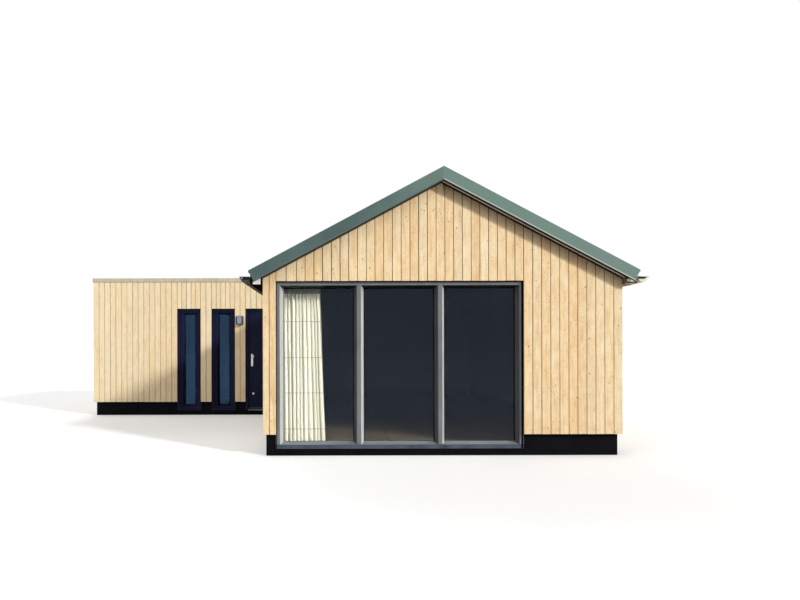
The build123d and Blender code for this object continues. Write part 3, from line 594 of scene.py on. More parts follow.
def eaves_finish():
    """Boxed eaves: cream fascias over a beige soffit, with painted shade: dark soffit and inner
    side on the left, brown inner side on the right, dark bands on the front ends.
    """
    f = coated_finish("eaves_paint", tone(236, 233, 224), 0.5, 0.05, shine=0.0)
    lo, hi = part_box("eaves_boxes")
    x, y, z = f.axes()
    away = abs(x)
    boards = f.noise(1.0, 4.0, stretch=(30, 2, 2))
    dark = f.mix(boards, tone(16, 11, 10), tone(26, 19, 16))
    pale = f.mix(boards, tone(176, 162, 132), tone(196, 182, 152))
    # Painted shade: the soffit is dark on the left; the right keeps the pale beige.
    f.lay(z < lo.z + 0.0005, f.mix(f.on_left(), pale, dark))
    # Painted shade on the front ends: a line by the wall, the outer end on the left, and on the
    # right the upper part and a foot band (the mask named joint); the lowest 8 mm on the right then
    # take the soffit's beige.
    end = abs(y) > hi.y - 0.002
    upper_end_shade = (z > lo.z + 0.064) * (away < SIDE + 0.038)
    joint = ((z < lo.z + 0.026) | upper_end_shade) * f.on_right()
    outer = (away > hi.x - 0.037) * f.on_left()
    f.lay(end * ((away < SIDE + 0.012) | outer | joint), tone(30, 24, 21))
    f.lay(end * ((z < lo.z + 0.008) * f.on_right()), pale)
    # Painted shade on the inner sides: brown on the right, dark on the left.
    f.lay(away < SIDE + 0.002, f.mix(f.on_left(), tone(104, 88, 76), dark))


def verge_finish(colour):
    """Coated trim with painted light and shade: paler towards the right, a pale highlight on the
    right trim's hem along its lower edge, and black on its inner faces and on the faces that look
    down.
    """
    f = coated_finish("verge_coating", colour, 0.42, 0.05, (2.5, 2.5, 1.0))
    x, y, z = f.axes()
    end = high("verge_trims_right")
    height = z + abs(x) * RISE
    lowest = low("verge_trims_right").z + end.x * RISE
    # Painted light: the coating grows paler towards the right.
    painted_light_right = (x * 0.5 + 0.8).ramp((0.20, 0.0), (0.425, 0.20), (0.625, 0.48), (0.79, 0.54),
                                (0.80, 0.80))
    f.lay(painted_light_right, lit_tone(colour))
    # Painted shade: black on the inner faces of the trim, below the ridge.
    f.lay((abs(y) < end.y - 0.010) * (height < RIDGE - 0.020), tone(16, 16, 17))
    # Painted highlight: the hem of the right trim is pale; the left hem stays near the trim's own
    # tone.
    edge = f.mix(f.on_left(), tone(176, 181, 170), tone(86, 104, 103))
    f.lay((height < lowest + HEM / COSINE) * (abs(y) > end.y - 0.003), edge)
    # Painted shade on the faces that look down.
    f.lay(f.facing("Z", -1), tone(8, 8, 9))


def tile_finish():
    """Matt ceramic floor tiles, each a little different, in a dark brown that is partly painted
    shade for the dim rooms.
    """
    f = Finish("floor_tiles")
    own, lot = own_place(f, (23.0, 31.0, 11.0))
    clouds = f.noise(2.6, 6.0, 0.6, 0.8, None, own)
    grit = f.noise(210.0, 3.0, 0.6, 0.0, None, own)
    f.start(clouds.ramp((0.34, 0.0), (0.66, 1.0)), tone(116, 104, 86), tone(138, 126, 106))
    f.lay(lot[0] * 0.25, tone(104, 94, 80))
    f.lay(grit.ramp((0.30, 0.25), (0.60, 0.0)), tone(84, 76, 62))
    f.surface(clouds * 0.25 + 0.22, grit, 0.0004, 0.35)


def pane_finish(name, tint, reflection):
    """Clear glass that lets the lamps through to the rooms, its reflection tinted by a painted
    colour.
    """
    f = Finish(name)
    f.plug(f.shader, {"Base Color": tint, "Transmission Weight": 1.0, "IOR": 1.45,
                      "Specular Tint": reflection})
    f.surface(0.0, f.noise(2.0, 3.0, 0.5, 0.0, (3, 3, 1)), 0.0015, 0.12)
    f.show(f.add("LightPath", out="Is Shadow Ray"), Value(f, f.shader.outputs[0]),
           f.add("BsdfTransparent", {"Color": tint}))


def screen_finish(colour):
    """Screen frame with painted light on the right-facing splays and the faces that look up, and
    painted shade on the left-facing splays, the undersides and the lower rail.
    """
    f = coated_finish("screen_coating", colour, 0.40, 0.05)
    cloudy = f.noise(1.0, 5.0, 0.6, 0.0, (6, 6, 3)) + 0.25
    # Painted shade: the lower 62 mm of the frame are darker and bluer.
    f.lay((f.axes()[2] < low("screen_frame").z + 0.062) * cloudy, tone(46, 54, 70))
    # Painted light: faces that look up are paler and bluer.
    f.lay(f.facing("Z", 1) * cloudy, tone(122, 134, 147))
    # Painted shade on the faces that look down.
    f.lay(f.facing("Z", -1), tone(13, 14, 18))
    # Painted light on the right-facing faces.
    f.lay(f.facing("X", 1) * 0.60, tone(214, 215, 204))
    # Painted shade on the left-facing faces.
    f.lay(f.facing("X", -1) * 0.72, tone(26, 28, 34))


def rubber_finish(name, shine):
    """Black rubber."""
    return stone_finish(name, tone(6, 6, 7), tone(10, 10, 11), 500.0, 0.75, 0.0002, shine)


def rubber_pale_where_lit_finish():
    """Black gaskets with painted light that makes them pale along the sill and the left jamb."""
    f = rubber_finish("rubber_pale_where_lit", 0.05)
    lowest = low("screen_glass")
    edge = SIGHTLINE + 0.012
    x, _, z = f.axes()
    pale = f.mix(f.noise(60.0, 3.0), tone(138, 138, 132), tone(156, 154, 146))
    # Painted light on the gaskets at the sill and the left jamb.
    f.lay((z < lowest.z + edge) | (x < lowest.x + edge), pale)


def cloth_finish():
    """Cream curtain cloth with a visible weave, thin dark stripes, sparse small dots and a header
    in painted shade.
    """
    f = Finish("curtain_cloth")
    where = f.add("UVMap", uv_map="cloth")
    across, along, _ = f.axes(where)
    threads = 5200.0
    weave = (across * threads).sine() * (along * threads).sine()
    slub = f.noise(1.0, stretch=(500, 14, 1), where=where)
    f.start(f.noise(3.0, 4.0, stretch=None, where=where), tone(213, 208, 187), tone(222, 217, 199))
    f.lay(slub.ramp((0.30, 0.35), (0.60, 0.0)), tone(190, 182, 160))
    # Painted shade: the header is darker, most in the creases of its pencil pleats.
    pleat_shade = (across * (2 * math.pi / 0.030)).sine() * 0.5 + 0.5
    pleat_shade = pleat_shade.ramp((0.1, 1.0), (0.9, 0.55))
    f.lay((along > HEADER_FOOT) * pleat_shade, tone(140, 136, 112))
    stripes = 0.0
    for height in (1.86, 1.35, 0.85, 0.34):
        line = f.add("Math", {0: along, 1: height, 2: 0.0045}, operation="COMPARE")
        stripes = f.math("MAXIMUM", stripes, line)
    f.lay(stripes * 0.75, tone(110, 106, 104))
    f.lay(f.cells(7.0, where)[0].ramp((0.055, 0.8), (0.065, 0.0)), tone(120, 116, 112))
    f.surface(0.85, weave + slub * 2.0, 0.0004, Sheen_Weight=0.3)


def opal_finish():
    """Opal lamp glass with a soft gloss; its milky white is painted as a shaded blue-grey."""
    f = Finish("opal_glass")
    clouds = f.noise(9.0, 3.0)
    # Painted shade: blue-grey tones in place of the glass's milky white.
    f.start(clouds, tone(122, 134, 147), tone(142, 153, 166))
    f.surface(clouds * 0.1 + 0.14, Coat_Weight=0.3)


# Sizes and colours

def length(name, description, default):
    """A length in metres."""
    return FloatProperty(name=name, description=description, default=default, unit="LENGTH")


def count(name, description, default):
    """A whole number."""
    return IntProperty(name=name, description=description, default=default, min=3)


def paint(name, description, *default):
    """A colour, its default given as screen values."""
    return FloatVectorProperty(name=name, description=description, subtype="COLOR", size=4,
                               default=tone(*default), min=0, max=1)


class CladdingSizes(bpy.types.PropertyGroup):
    """Boards, battens and membrane."""
    board_thickness: length("Board thickness", "Thickness of a cladding board", 0.021)
    board_gap: length("Board gap", "Open gap between two boards", 0.0090)
    board_cover: length("Board cover", "Board and gap on the sides and the back", 0.120)
    edge_easing: length("Edge easing", "Bevel on the front edges of a board", 0.0018)
    # The wider gap on the right paints shade under the right verge with the black membrane behind
    # it.
    top_gap: length("Top gap", "Ventilation gap over the boards under the right verge", 0.022)
    batten_height: length("Batten height", "Height of a horizontal batten", 0.048)
    batten_spacing: length("Batten spacing", "Distance from batten to batten", 0.58)
    screw_radius: length("Screw radius", "Radius of a screw head", 0.0042)
    pale_timber: paint("Pale timber", "Colour of the palest boards", 250, 229, 187)
    warm_timber: paint("Warm timber", "Colour of the warmest boards", 246, 215, 165)
    grey_timber: paint("Grey timber", "Colour of weathered boards", 228, 208, 172)


class CurtainSizes(bpy.types.PropertyGroup):
    """Curtain."""
    pleats: count("Pleats", "Folds across the curtain", 10)
    pencil_pleats: count("Pencil pleats", "Narrow pleats in the header", 26)
    cloth_width: length("Cloth width", "Width of the cloth laid flat", 1.05)
    cloth_thickness: length("Cloth thickness", "Thickness of the cloth", 0.0008)
    header: length("Header", "Height of the gathered header", 0.150)


class HouseColours(bpy.types.PropertyGroup):
    """Painted and coated parts."""
    roof_trim: paint("Roof trim", "Coated verge trims and roof sheet", 76, 97, 95)
    screen: paint("Glazed screen", "Coating of the screen frame", 117, 119, 123)
    # The dark navy of the annex frames and the door is partly their own paint and partly painted
    # shade.
    windows: paint("Annex windows", "Paint of the annex frames", 26, 28, 58)
    door: paint("Entrance door", "Paint of the entrance leaf", 20, 25, 54)


# Cladding

def even(start, end, number):
    """Board edges between two ends."""
    step = (end - start) / number
    return [(start + i * step, start + (i + 1) * step) for i in range(number)]


def run_of(start, end, cover):
    """Boards of about one cover between two ends."""
    return even(start, end, max(1, round((end - start) / cover)))


class Wall:
    """One clad face: its axis along the wall, its outer face and the way into the wall."""

    def __init__(self, name, along, face, inward, seed):
        self.name = name
        self.along = along
        self.face = face
        self.inward = inward
        self.draw = random.Random(seed)

    def corners(self, start, end, depth0, depth1, z0, z1):
        """Corners of a box from distances along and into the wall."""
        near, far = self.face + self.inward * depth0, self.face + self.inward * depth1
        near, far = min(near, far), max(near, far)
        if self.along == "X":
            return (start, near, z0), (end, far, z1)
        return (near, start, z0), (far, end, z1)

    def outward(self):
        """Direction out of the wall."""
        return Vector((0, -self.inward, 0) if self.along == "X" else (-self.inward, 0, 0))


def draw_lot(draw):
    """Three random values, as a vertex colour."""
    return draw.random(), draw.random(), draw.random(), 1.0


def lay_boards(bm, wall, sizes, edges, z0, z1):
    """Boards between edges, each with its own lot values."""
    layer = lot_layer(bm)
    for start, end in edges:
        half = sizes.board_gap / 2 + wall.draw.uniform(-0.0008, 0.0012)
        inset = wall.draw.uniform(0.0, 0.0012)
        foot = z0 + wall.draw.uniform(0.0, 0.0025)
        lot = draw_lot(wall.draw)
        lo, hi = wall.corners(start + half, end - half, inset, sizes.board_thickness, foot, z1)
        for vert in add_box(bm, lo, hi):
            vert[layer] = lot


def batten_heights(sizes, top):
    """Levels of the battens from the foot of the boards to a top."""
    levels = [BOARD_BOTTOM + 0.035]
    while levels[-1] + sizes.batten_spacing < top:
        levels.append(levels[-1] + sizes.batten_spacing)
    return levels


def hang_battens(bm, wall, sizes, span, heights):
    """Horizontal battens behind the boards."""
    start, end, z0, z1 = span
    front, back = sizes.board_thickness + 0.001, CLADDING - MEMBRANE
    for z in heights:
        top = z + sizes.batten_height
        if z0 <= z and top <= z1:
            add_box(bm, *wall.corners(start, end, front, back, z, top))


def drive_screws(bm, wall, sizes, edges, heights, z0, top_at):
    """A pair of screws in each board at each batten."""
    for start, end in edges:
        for z in heights:
            middle = z + sizes.batten_height / 2
            if middle < z0 + 0.02:
                continue
            for share in (0.22, 0.78):
                u = start + (end - start) * share
                if middle <= top_at(u) - 0.03:
                    lo, hi = wall.corners(u, u, -0.0002, 0.004, middle, middle)
                    add_rod(bm, lo, hi, sizes.screw_radius, 6)


def clad_wall(sizes, wall, node, top, groups, spans, cut=None, top_at=None):
    """Boards, battens, membrane and screws of one wall."""
    boards, battens, membrane, screws = (bmesh.new() for _ in range(4))
    heights = batten_heights(sizes, top)
    for edges, z0, z1 in groups:
        lay_boards(boards, wall, sizes, edges, z0, z1)
        drive_screws(screws, wall, sizes, edges, heights, z0, top_at or (lambda u: top))
    for span in spans:
        start, end, z0, z1 = span
        hang_battens(battens, wall, sizes, span, heights)
        add_box(membrane, *wall.corners(start, end, CLADDING - MEMBRANE, CLADDING - 0.0003,
                                        z0, z1))
    for bm, gap in ((boards, sizes.top_gap), (battens, 0.0), (membrane, 0.0)):
        if cut:
            cut(bm, gap)
        bmesh.ops.recalc_face_normals(bm, faces=bm.faces[:])
        bm.normal_update()
    ease_rims(boards, wall.outward(), sizes.edge_easing, 2)
    place_piece(boards, wall.name + "_boards", "cladding_timber", (node,))
    place_piece(battens, wall.name + "_battens", "batten_timber")
    place_piece(membrane, wall.name + "_membrane", "wall_membrane")
    if screws.faces:
        place_piece(screws, wall.name + "_screws", "screw_steel")


def plain_wall(sizes, wall, node, boards, battens, top, cut=None, top_at=None):
    """A wall without openings, given the two ends of its boards and of its battens."""
    clad_wall(sizes, wall, node, top,
              [(run_of(*boards, sizes.board_cover), BOARD_BOTTOM, top)],
              [(*battens, BOARD_BOTTOM, top)], cut, top_at)


def gable_limit(x):
    """Top of a gable board at x."""
    return GABLE_TOP - abs(x) * RISE


def annex_openings():
    """Visible width of each opening in the annex front, from left to right."""
    (first, last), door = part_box("annex_window_frames"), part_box("door_frame")
    second = last.x - WINDOW_WIDTH
    return [(first.x + LAP, first.x + WINDOW_WIDTH - LAP), (second + LAP, last.x - LAP),
            (door[0].x + LAP, door[1].x - LAP)]


class BUNGALOW_OT_cladding(bpy.types.Operator):
    """Build the boards, battens and membrane of every outer wall"""
    bl_idname = "bungalow.cladding"
    bl_label = "Cladding"

    def execute(self, context):
        sizes = context.scene.bungalow_cladding
        timber_finish(sizes.pale_timber, sizes.warm_timber, sizes.grey_timber)
        stone_finish("batten_timber", tone(64, 52, 38), tone(88, 72, 52), 90.0, 0.85)
        stone_finish("wall_membrane", tone(26, 26, 27), tone(34, 34, 35), 300.0, 0.9, 0.0004)
        worn_metal_finish("screw_steel", tone(176, 176, 172), 0.4)
        corner = sizes.board_thickness + 0.003
        self.main_walls(sizes, corner)
        self.annex_walls(sizes, corner)
        return {"FINISHED"}

    def main_walls(self, sizes, corner):
        """The front round the screen, the back and both sides."""
        left, right = low("screen_frame").x + LAP, high("screen_frame").x - LAP
        inner = left + 0.28
        ends = -SIDE + SHORT, SIDE - SHORT
        groups = [
            (even(-SIDE, left, 2), BOARD_BOTTOM, GABLE_TOP),
            (even(left, inner, 2) + even(inner, right, 26), HEAD_FOOT, GABLE_TOP),
            (even(right, SIDE, 11), BOARD_BOTTOM, GABLE_TOP),
        ]
        spans = [(ends[0], left, BOARD_BOTTOM, HEAD), (right, ends[1], BOARD_BOTTOM, HEAD),
                 (*ends, HEAD + 0.002, GABLE_TOP)]
        clad_wall(sizes, Wall("front", "X", FRONT, 1, 11), "main_front_cladding", GABLE_TOP,
                  groups, spans, saw_gable, gable_limit)
        plain_wall(sizes, Wall("back", "X", BACK, -1, 12), "main_back_cladding", (-SIDE, SIDE),
                   ends, GABLE_TOP, saw_gable, gable_limit)
        for name, face, inward, seed, last, behind in (
            ("right", SIDE, -1, 13, BACK - corner, BACK - CLADDING),
            ("left", -SIDE, 1, 14, ANNEX_FRONT - 0.002, ANNEX_FRONT),
        ):
            plain_wall(sizes, Wall(name, "Y", face, inward, seed), "main_side_claddings",
                       (FRONT + corner, last), (FRONT + CLADDING, behind), EAVES_TOP - SHORT)

    def annex_walls(self, sizes, corner):
        """The front with its openings, the cheeks over the slope, the back and the left."""
        main_wall = -SIDE - 0.0008
        groups, spans = [], []
        start = ANNEX_SIDE
        counts = ((15, 5), (2, 5), (2, 8))
        for (left, right), (beside, over) in zip(annex_openings(), counts):
            groups.append((even(start, left, beside), BOARD_BOTTOM, ANNEX_TOP))
            groups.append((even(left, right, over), HEAD - LAP, ANNEX_TOP))
            spans.append((max(start, ANNEX_SIDE + SHORT), left, BOARD_BOTTOM, ANNEX_TOP))
            spans.append((left, right, HEAD + 0.002, ANNEX_TOP))
            start = right
        groups.append((even(start, main_wall, 1), BOARD_BOTTOM, ANNEX_TOP))
        spans.append((start, main_wall, BOARD_BOTTOM, ANNEX_TOP))
        clad_wall(sizes, Wall("annex_front", "X", ANNEX_FRONT, 1, 21), "annex_front_cladding",
                  ANNEX_TOP, groups, spans)
        cheek = run_of(main_wall, CHEEK_RIGHT, sizes.board_cover)
        for name, face, inward, seed, node in (
            ("front_cheek", ANNEX_FRONT, 1, 22, "annex_front_cladding"),
            ("back_cheek", BACK, -1, 24, "annex_back_cladding"),
        ):
            clad_wall(sizes, Wall(name, "X", face, inward, seed), node, ANNEX_TOP,
                      [(cheek, EAVES_TOP, ANNEX_TOP)],
                      [(main_wall, CHEEK_RIGHT, EAVES_TOP, ANNEX_TOP)], saw_cheek, lambda u: 0.0)
        plain_wall(sizes, Wall("annex_back", "X", BACK, -1, 23), "annex_back_cladding",
                   (ANNEX_SIDE, main_wall), (ANNEX_SIDE + SHORT, main_wall), ANNEX_TOP)
        plain_wall(sizes, Wall("annex_left", "Y", ANNEX_SIDE, 1, 25), "annex_left_cladding",
                   (ANNEX_FRONT + corner, BACK - corner),
                   (ANNEX_FRONT + CLADDING, BACK - CLADDING), ANNEX_TOP)


# Structure inside the cladding

class BUNGALOW_OT_structure(bpy.types.Operator):
    """Finish the slabs, walls and ceilings, and lay the tiles and plinth boards"""
    bl_idname = "bungalow.structure"
    bl_label = "Structure"

    def execute(self, context):
        lining_finish()
        base_finish("slab_concrete", tone(14, 14, 17), tone(22, 22, 26), 120.0)
        base_finish("plinth_core", tone(12, 12, 15), tone(20, 20, 24), 240.0)
        ceiling_finish()
        tile_finish()
        stone_finish("tile_grout", tone(72, 66, 58), tone(84, 78, 68), 300.0, 0.9, 0.0006)
        stone_finish("plinth_boards", tone(9, 8, 12), tone(16, 15, 20), 240.0, 0.66, 0.0006, 0.05)
        dress("slab_concrete", "main_slab", "annex_slab")
        dress("plinth_core", "main_end_plinths", "main_side_plinths", "annex_end_plinths",
              "annex_left_plinth")
        dress("wall_lining", "main_front_piers", "main_front_gable", "main_back_wall",
              "main_right_wall", "main_left_walls", "main_left_lintel", "annex_front_piers",
              "annex_front_lintel", "annex_left_wall", "annex_back_wall")
        dress("roof_panel_boarding", "main_roof_left", "main_roof_right")
        self.plinth_boards()
        self.lay_tiles("main", 31)
        self.lay_tiles("annex", 32)
        return {"FINISHED"}

    def plinth_boards(self):
        """Dark boards over the slab and the plinth, with butt joints and screws."""
        boards, screws = bmesh.new(), bmesh.new()
        thick, joint = 0.008, 0.004
        tall, below_frame, beside = 0.33, 0.098, 0.298
        side = high("main_slab").x
        front, back = low("main_slab").y, high("main_slab").y
        annex_front, annex_side = low("annex_slab").y, low("annex_slab").x
        screen = solids_of("screen_frame")[0]
        runs = [
            ("X", front, 1, -side, screen[0].x, tall),
            ("X", front, 1, screen[0].x, screen[1].x, below_frame),
            ("X", front, 1, screen[1].x, side, tall), ("X", back, -1, annex_side, side, tall),
            ("Y", side, -1, front, back, beside), ("Y", -side, 1, front, annex_front, beside),
            ("Y", annex_side, 1, annex_front, back, beside),
        ]
        edges = [annex_side]
        for lo, hi in solids_of("annex_window_frames") + solids_of("door_frame"):
            edges += [lo.x, hi.x]
        edges.append(-side - thick)
        for i, (start, end) in enumerate(zip(edges, edges[1:])):
            runs.append(("X", annex_front, 1, start, end, below_frame if i % 2 else tall))
        for along, face, inward, start, end, top in runs:
            wall = Wall("plinth", along, face, inward, 5)
            for u0, u1 in run_of(start, end, 1.2):
                add_box(boards, *wall.corners(u0 + joint / 2, u1 - joint / 2, -thick, -0.0002,
                                              0.003, top))
                for u in (u0 + 0.04, u1 - 0.04):
                    for z in ((0.05, 0.26) if top > 0.2 else (0.05,)):
                        lo, hi = wall.corners(u, u, -thick - 0.0015, -thick + 0.002, z, z)
                        add_rod(screws, lo, hi, 0.005, 8)
        ease_sharp(boards, 0.0012)
        place_piece(boards, "plinth_boards", "plinth_boards")
        place_piece(screws, "plinth_screws", "plinth_boards")

    def lay_tiles(self, room, seed):
        """Square tiles with open joints over one room, on their grout."""
        draw = random.Random(seed)
        node = room + "_floor"
        lo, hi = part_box(node)
        tiles, grout = bmesh.new(), bmesh.new()
        layer = lot_layer(tiles)
        side, half_joint = 0.60, 0.004 / 2
        for x0, x1 in run_of(lo.x, hi.x, side):
            for y0, y1 in run_of(lo.y, hi.y, side):
                top = hi.z - draw.uniform(0, 0.0004)
                lot = draw_lot(draw)
                for vert in add_box(tiles, (x0 + half_joint, y0 + half_joint, hi.z - 0.010),
                                    (x1 - half_joint, y1 - half_joint, top)):
                    vert[layer] = lot
        tiles.normal_update()
        ease_rims(tiles, Vector((0, 0, 1)), 0.0015)
        add_box(grout, lo, (hi.x, hi.y, hi.z - 0.002))
        place_piece(tiles, room + "_tiles", "floor_tiles", (node,))
        place_piece(grout, room + "_grout", "tile_grout")


# Roofs

class BUNGALOW_OT_roof(bpy.types.Operator):
    """Finish the roof sheets, trims, eaves, gutters and pipes"""
    bl_idname = "bungalow.roof"
    bl_label = "Roof"

    def execute(self, context):
        colour = context.scene.bungalow_colours.roof_trim
        verge_finish(colour)
        sheet = coated_finish("roof_sheet_coating", colour, 0.46, 0.16, (3, 14, 3))
        # Painted light: the right roof sheet is paler.
        sheet.lay(sheet.on_right() * 0.35, lit_tone(colour))
        eaves_finish()
        zinc_finish()
        stone_finish("black_strip_paint", tone(12, 12, 13), tone(18, 18, 19), 400.0, 0.8, 0.0002)
        stone_finish("roof_membrane", tone(84, 86, 87), tone(104, 106, 106), 260.0, 0.9)
        stone_finish("apron_lead", tone(96, 98, 100), tone(120, 122, 123), 60.0, 0.62, 0.0012, 0.3)
        coated_finish("annex_trim_coating", tone(203, 193, 172), 0.60, 0.08, shine=0.12)
        dress("verge_coating", "verge_trims_left", "verge_trims_right", "ridge_cap")
        dress("roof_sheet_coating", "roof_sheet_left", "roof_sheet_right")
        dress("eaves_paint", "eaves_boxes")
        dress("weathered_zinc_with_left_shade", "gutters", "downpipes")
        dress("roof_membrane", "annex_roof")
        dress("annex_trim_coating", "annex_trim_ends", "annex_trim_left")
        self.gutter_details()
        self.ridge_screws()
        self.flat_roof_details()
        return {"FINISHED"}

    def gutter_details(self):
        """Straps and spacers every 0.6 m, and a folded stop end on each front end over a black
        strip.
        """
        straps, caps, black_strips = bmesh.new(), bmesh.new(), bmesh.new()
        radius = high("gutters").z - low("gutters").z - GUTTER_BEAD
        half, reach = 0.0125, 0.095
        for side, (lo, hi) in zip((-1, 1), solids_of("gutters")):
            rim = hi.z - GUTTER_BEAD
            back = side * min(abs(lo.x), abs(hi.x))
            front = side * max(abs(lo.x), abs(hi.x))
            left, right = min(back, front), max(back, front)
            for y0, y1 in run_of(lo.y + 0.10, hi.y - 0.10, 0.60):
                y = (y0 + y1) / 2
                add_strap(straps, Vector((back + side * radius, y, rim)), radius + 0.0002, 0.003,
                          2 * half, 215, 325, 12)
                add_box(straps, (left + 0.004, y - half, rim + 0.0002),
                        (right - 0.006, y + half, rim + 0.0035))
            # A black strip under the fold of each stop end.
            near = lo.y - 0.012
            add_box(black_strips, (min(back, back + side * reach), near, hi.z - 0.020),
                    (max(back, back + side * reach), lo.y - 0.0003, hi.z + 0.003))
            add_box(caps, (left, near - 0.004, hi.z + 0.003), (right, lo.y + 0.030, hi.z + 0.016))
        for bm in (straps, caps):
            ease_sharp(bm, 0.0008, degrees=60)
        place_piece(straps, "gutter_straps", "weathered_zinc_with_left_shade")
        place_piece(caps, "gutter_stop_folds", "weathered_zinc_with_left_shade")
        place_piece(black_strips, "gutter_stop_black_strips", "black_strip_paint")

    def ridge_screws(self):
        """Hexagon heads along both wings of the ridge cap."""
        bm = bmesh.new()
        lo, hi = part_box("ridge_cap")
        out = hi.x - 0.028
        for side in (-1, 1):
            normal = Vector((side * SINE, 0, COSINE))
            for y0, y1 in run_of(lo.y + 0.05, hi.y - 0.05, 0.52):
                point = Vector((side * out, (y0 + y1) / 2, hi.z - out * RISE))
                add_rod(bm, point - normal * 0.002, point + normal * 0.0012, 0.0105, 12)
                add_rod(bm, point + normal * 0.001, point + normal * 0.0058, 0.0062, 6)
        place_piece(bm, "ridge_screws", "screw_steel")

    def flat_roof_details(self):
        """Laps of the membrane, the apron on the slope and the covers of the trim joints."""
        lo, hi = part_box("annex_roof")
        laps, apron, covers = bmesh.new(), bmesh.new(), bmesh.new()
        under = hi.z - 0.001
        for x, _ in run_of(lo.x, hi.x, 1.0)[1:]:
            add_box(laps, (x - 0.05, lo.y + 0.006, under), (x + 0.05, hi.y - 0.006, hi.z + 0.004))
        for y0, y1 in ((lo.y + 0.004, lo.y + 0.105), (hi.y - 0.105, hi.y - 0.004)):
            add_box(laps, (lo.x + 0.004, y0, under), (hi.x - 0.16, y1, hi.z + 0.0065))
        ease_sharp(laps, 0.0018)
        leg, thick = 0.15, 0.003
        run, rise = leg * COSINE, leg * SINE
        lift = thick / COSINE
        line = ((-leg, 0.0), (0.0, 0.0), (run, rise), (run - 0.0015, rise + lift),
                (-0.002, lift), (-leg, lift))
        face = apron.faces.new([apron.verts.new((hi.x + dx, lo.y + 0.004, hi.z + 0.0008 + dz))
                                for dx, dz in line])
        push(apron, [face], (0, hi.y - lo.y - 0.008, 0))
        proud, half = 0.0012, 0.03
        lo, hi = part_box("annex_trim_ends")
        for y0, y1 in ((lo.y, lo.y + 0.060), (hi.y - 0.060, hi.y)):
            for x in (-5.52, -4.06, -2.72):
                add_box(covers, (x - half, y0 - proud, lo.z - proud),
                        (x + half, y1 + proud, hi.z + proud))
        lo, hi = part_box("annex_trim_left")
        for y in (1.98, 3.30):
            add_box(covers, (lo.x + 0.0004, y - half, lo.z + 0.01),
                    (hi.x + proud, y + half, hi.z + proud))
        ease_sharp(covers, 0.0015)
        place_piece(laps, "membrane_laps", "roof_membrane",
                    among=bpy.data.materials)
        place_piece(apron, "roof_apron", "apron_lead")
        place_piece(covers, "annex_trim_covers", "annex_trim_coating")


# Glazed screen, annex windows and entrance

def glaze(node, names, glass, rubber):
    """Two sheets on a dark spacer for each pane of a node, with a gasket round each side."""
    sheets, spacers, gaskets = bmesh.new(), bmesh.new(), bmesh.new()
    thick, inset = 0.006, 0.001
    inner = SIGHTLINE - 0.0008
    for lo, hi in solids_of(node):
        for y in (lo.y, hi.y - thick):
            add_box(sheets, (lo.x, y, lo.z), (hi.x, y + thick, hi.z))
        add_ring(spacers, (lo.x + inset, lo.y + thick, lo.z + inset),
                 (hi.x - inset, hi.y - thick, hi.z - inset), SIGHTLINE + 0.011)
        for y in (lo.y - 0.0045, hi.y + 0.0002):
            add_ring(gaskets, (lo.x + inner, y, lo.z + inner),
                     (hi.x - inner, y + 0.0043, hi.z - inner), 0.0105)
    ease_sharp(sheets, 0.0008)
    ease_sharp(gaskets, 0.0010)
    place_piece(sheets, names + "_panes", glass, (node,))
    place_piece(spacers, names + "_spacers", "spacer_bar")
    place_piece(gaskets, names + "_gaskets", rubber)


class BUNGALOW_OT_glazing(bpy.types.Operator):
    """Finish the frames and hang the panes of the screen and the annex windows"""
    bl_idname = "bungalow.glazing"
    bl_label = "Glazing"

    def execute(self, context):
        colours = context.scene.bungalow_colours
        screen_finish(colours.screen)
        coated_finish("window_paint", colours.windows, 0.40, 0.03, shine=0.08)
        # Painted reflection: a dim blue-grey on the screen panes and a sky blue on the annex panes.
        pane_finish("insulating_glass", (0.965, 0.972, 0.965, 1.0), (0.13, 0.16, 0.23, 1.0))
        pane_finish("glass_with_painted_reflection", (0.90, 0.93, 0.95, 1.0), (0.17, 0.37, 0.68, 1.0))
        rubber_finish("frame_rubber", 0.02)
        rubber_pale_where_lit_finish()
        coated_finish("spacer_bar", tone(24, 25, 28), 0.5, 0.02, shine=0.1)
        dress("screen_coating", "screen_frame")
        dress("window_paint", "annex_window_frames", "annex_window_sashes", "door_frame")
        glaze("screen_glass", "screen", "insulating_glass", "rubber_pale_where_lit")
        glaze("annex_window_glass", "window", "glass_with_painted_reflection", "frame_rubber")
        self.tape_and_right_shade()
        return {"FINISHED"}

    def tape_and_right_shade(self):
        """Black joint tape on the screen frame where the boards and the head meet it, widened on
        the right into painted shade.
        """
        lo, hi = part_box("screen_frame")
        left, right, head = lo.x + LAP - 0.003, hi.x - LAP + 0.003, HEAD_FOOT + 0.001
        width, front, back = 0.012, lo.y - 0.006, lo.y - 0.0002
        bm = bmesh.new()
        add_box(bm, (left, front, head - width), (right, back, head))
        # The right strip is 24 mm wide to paint the shade that the boards cast on the jamb.
        for x0, x1 in ((left, left + 0.009), (right - 0.024, right)):
            add_box(bm, (x0, front, lo.z + 0.002), (x1, back, head - width - 0.0002))
        ease_sharp(bm, 0.0010)
        place_piece(bm, "screen_tape_and_shade", "frame_rubber")


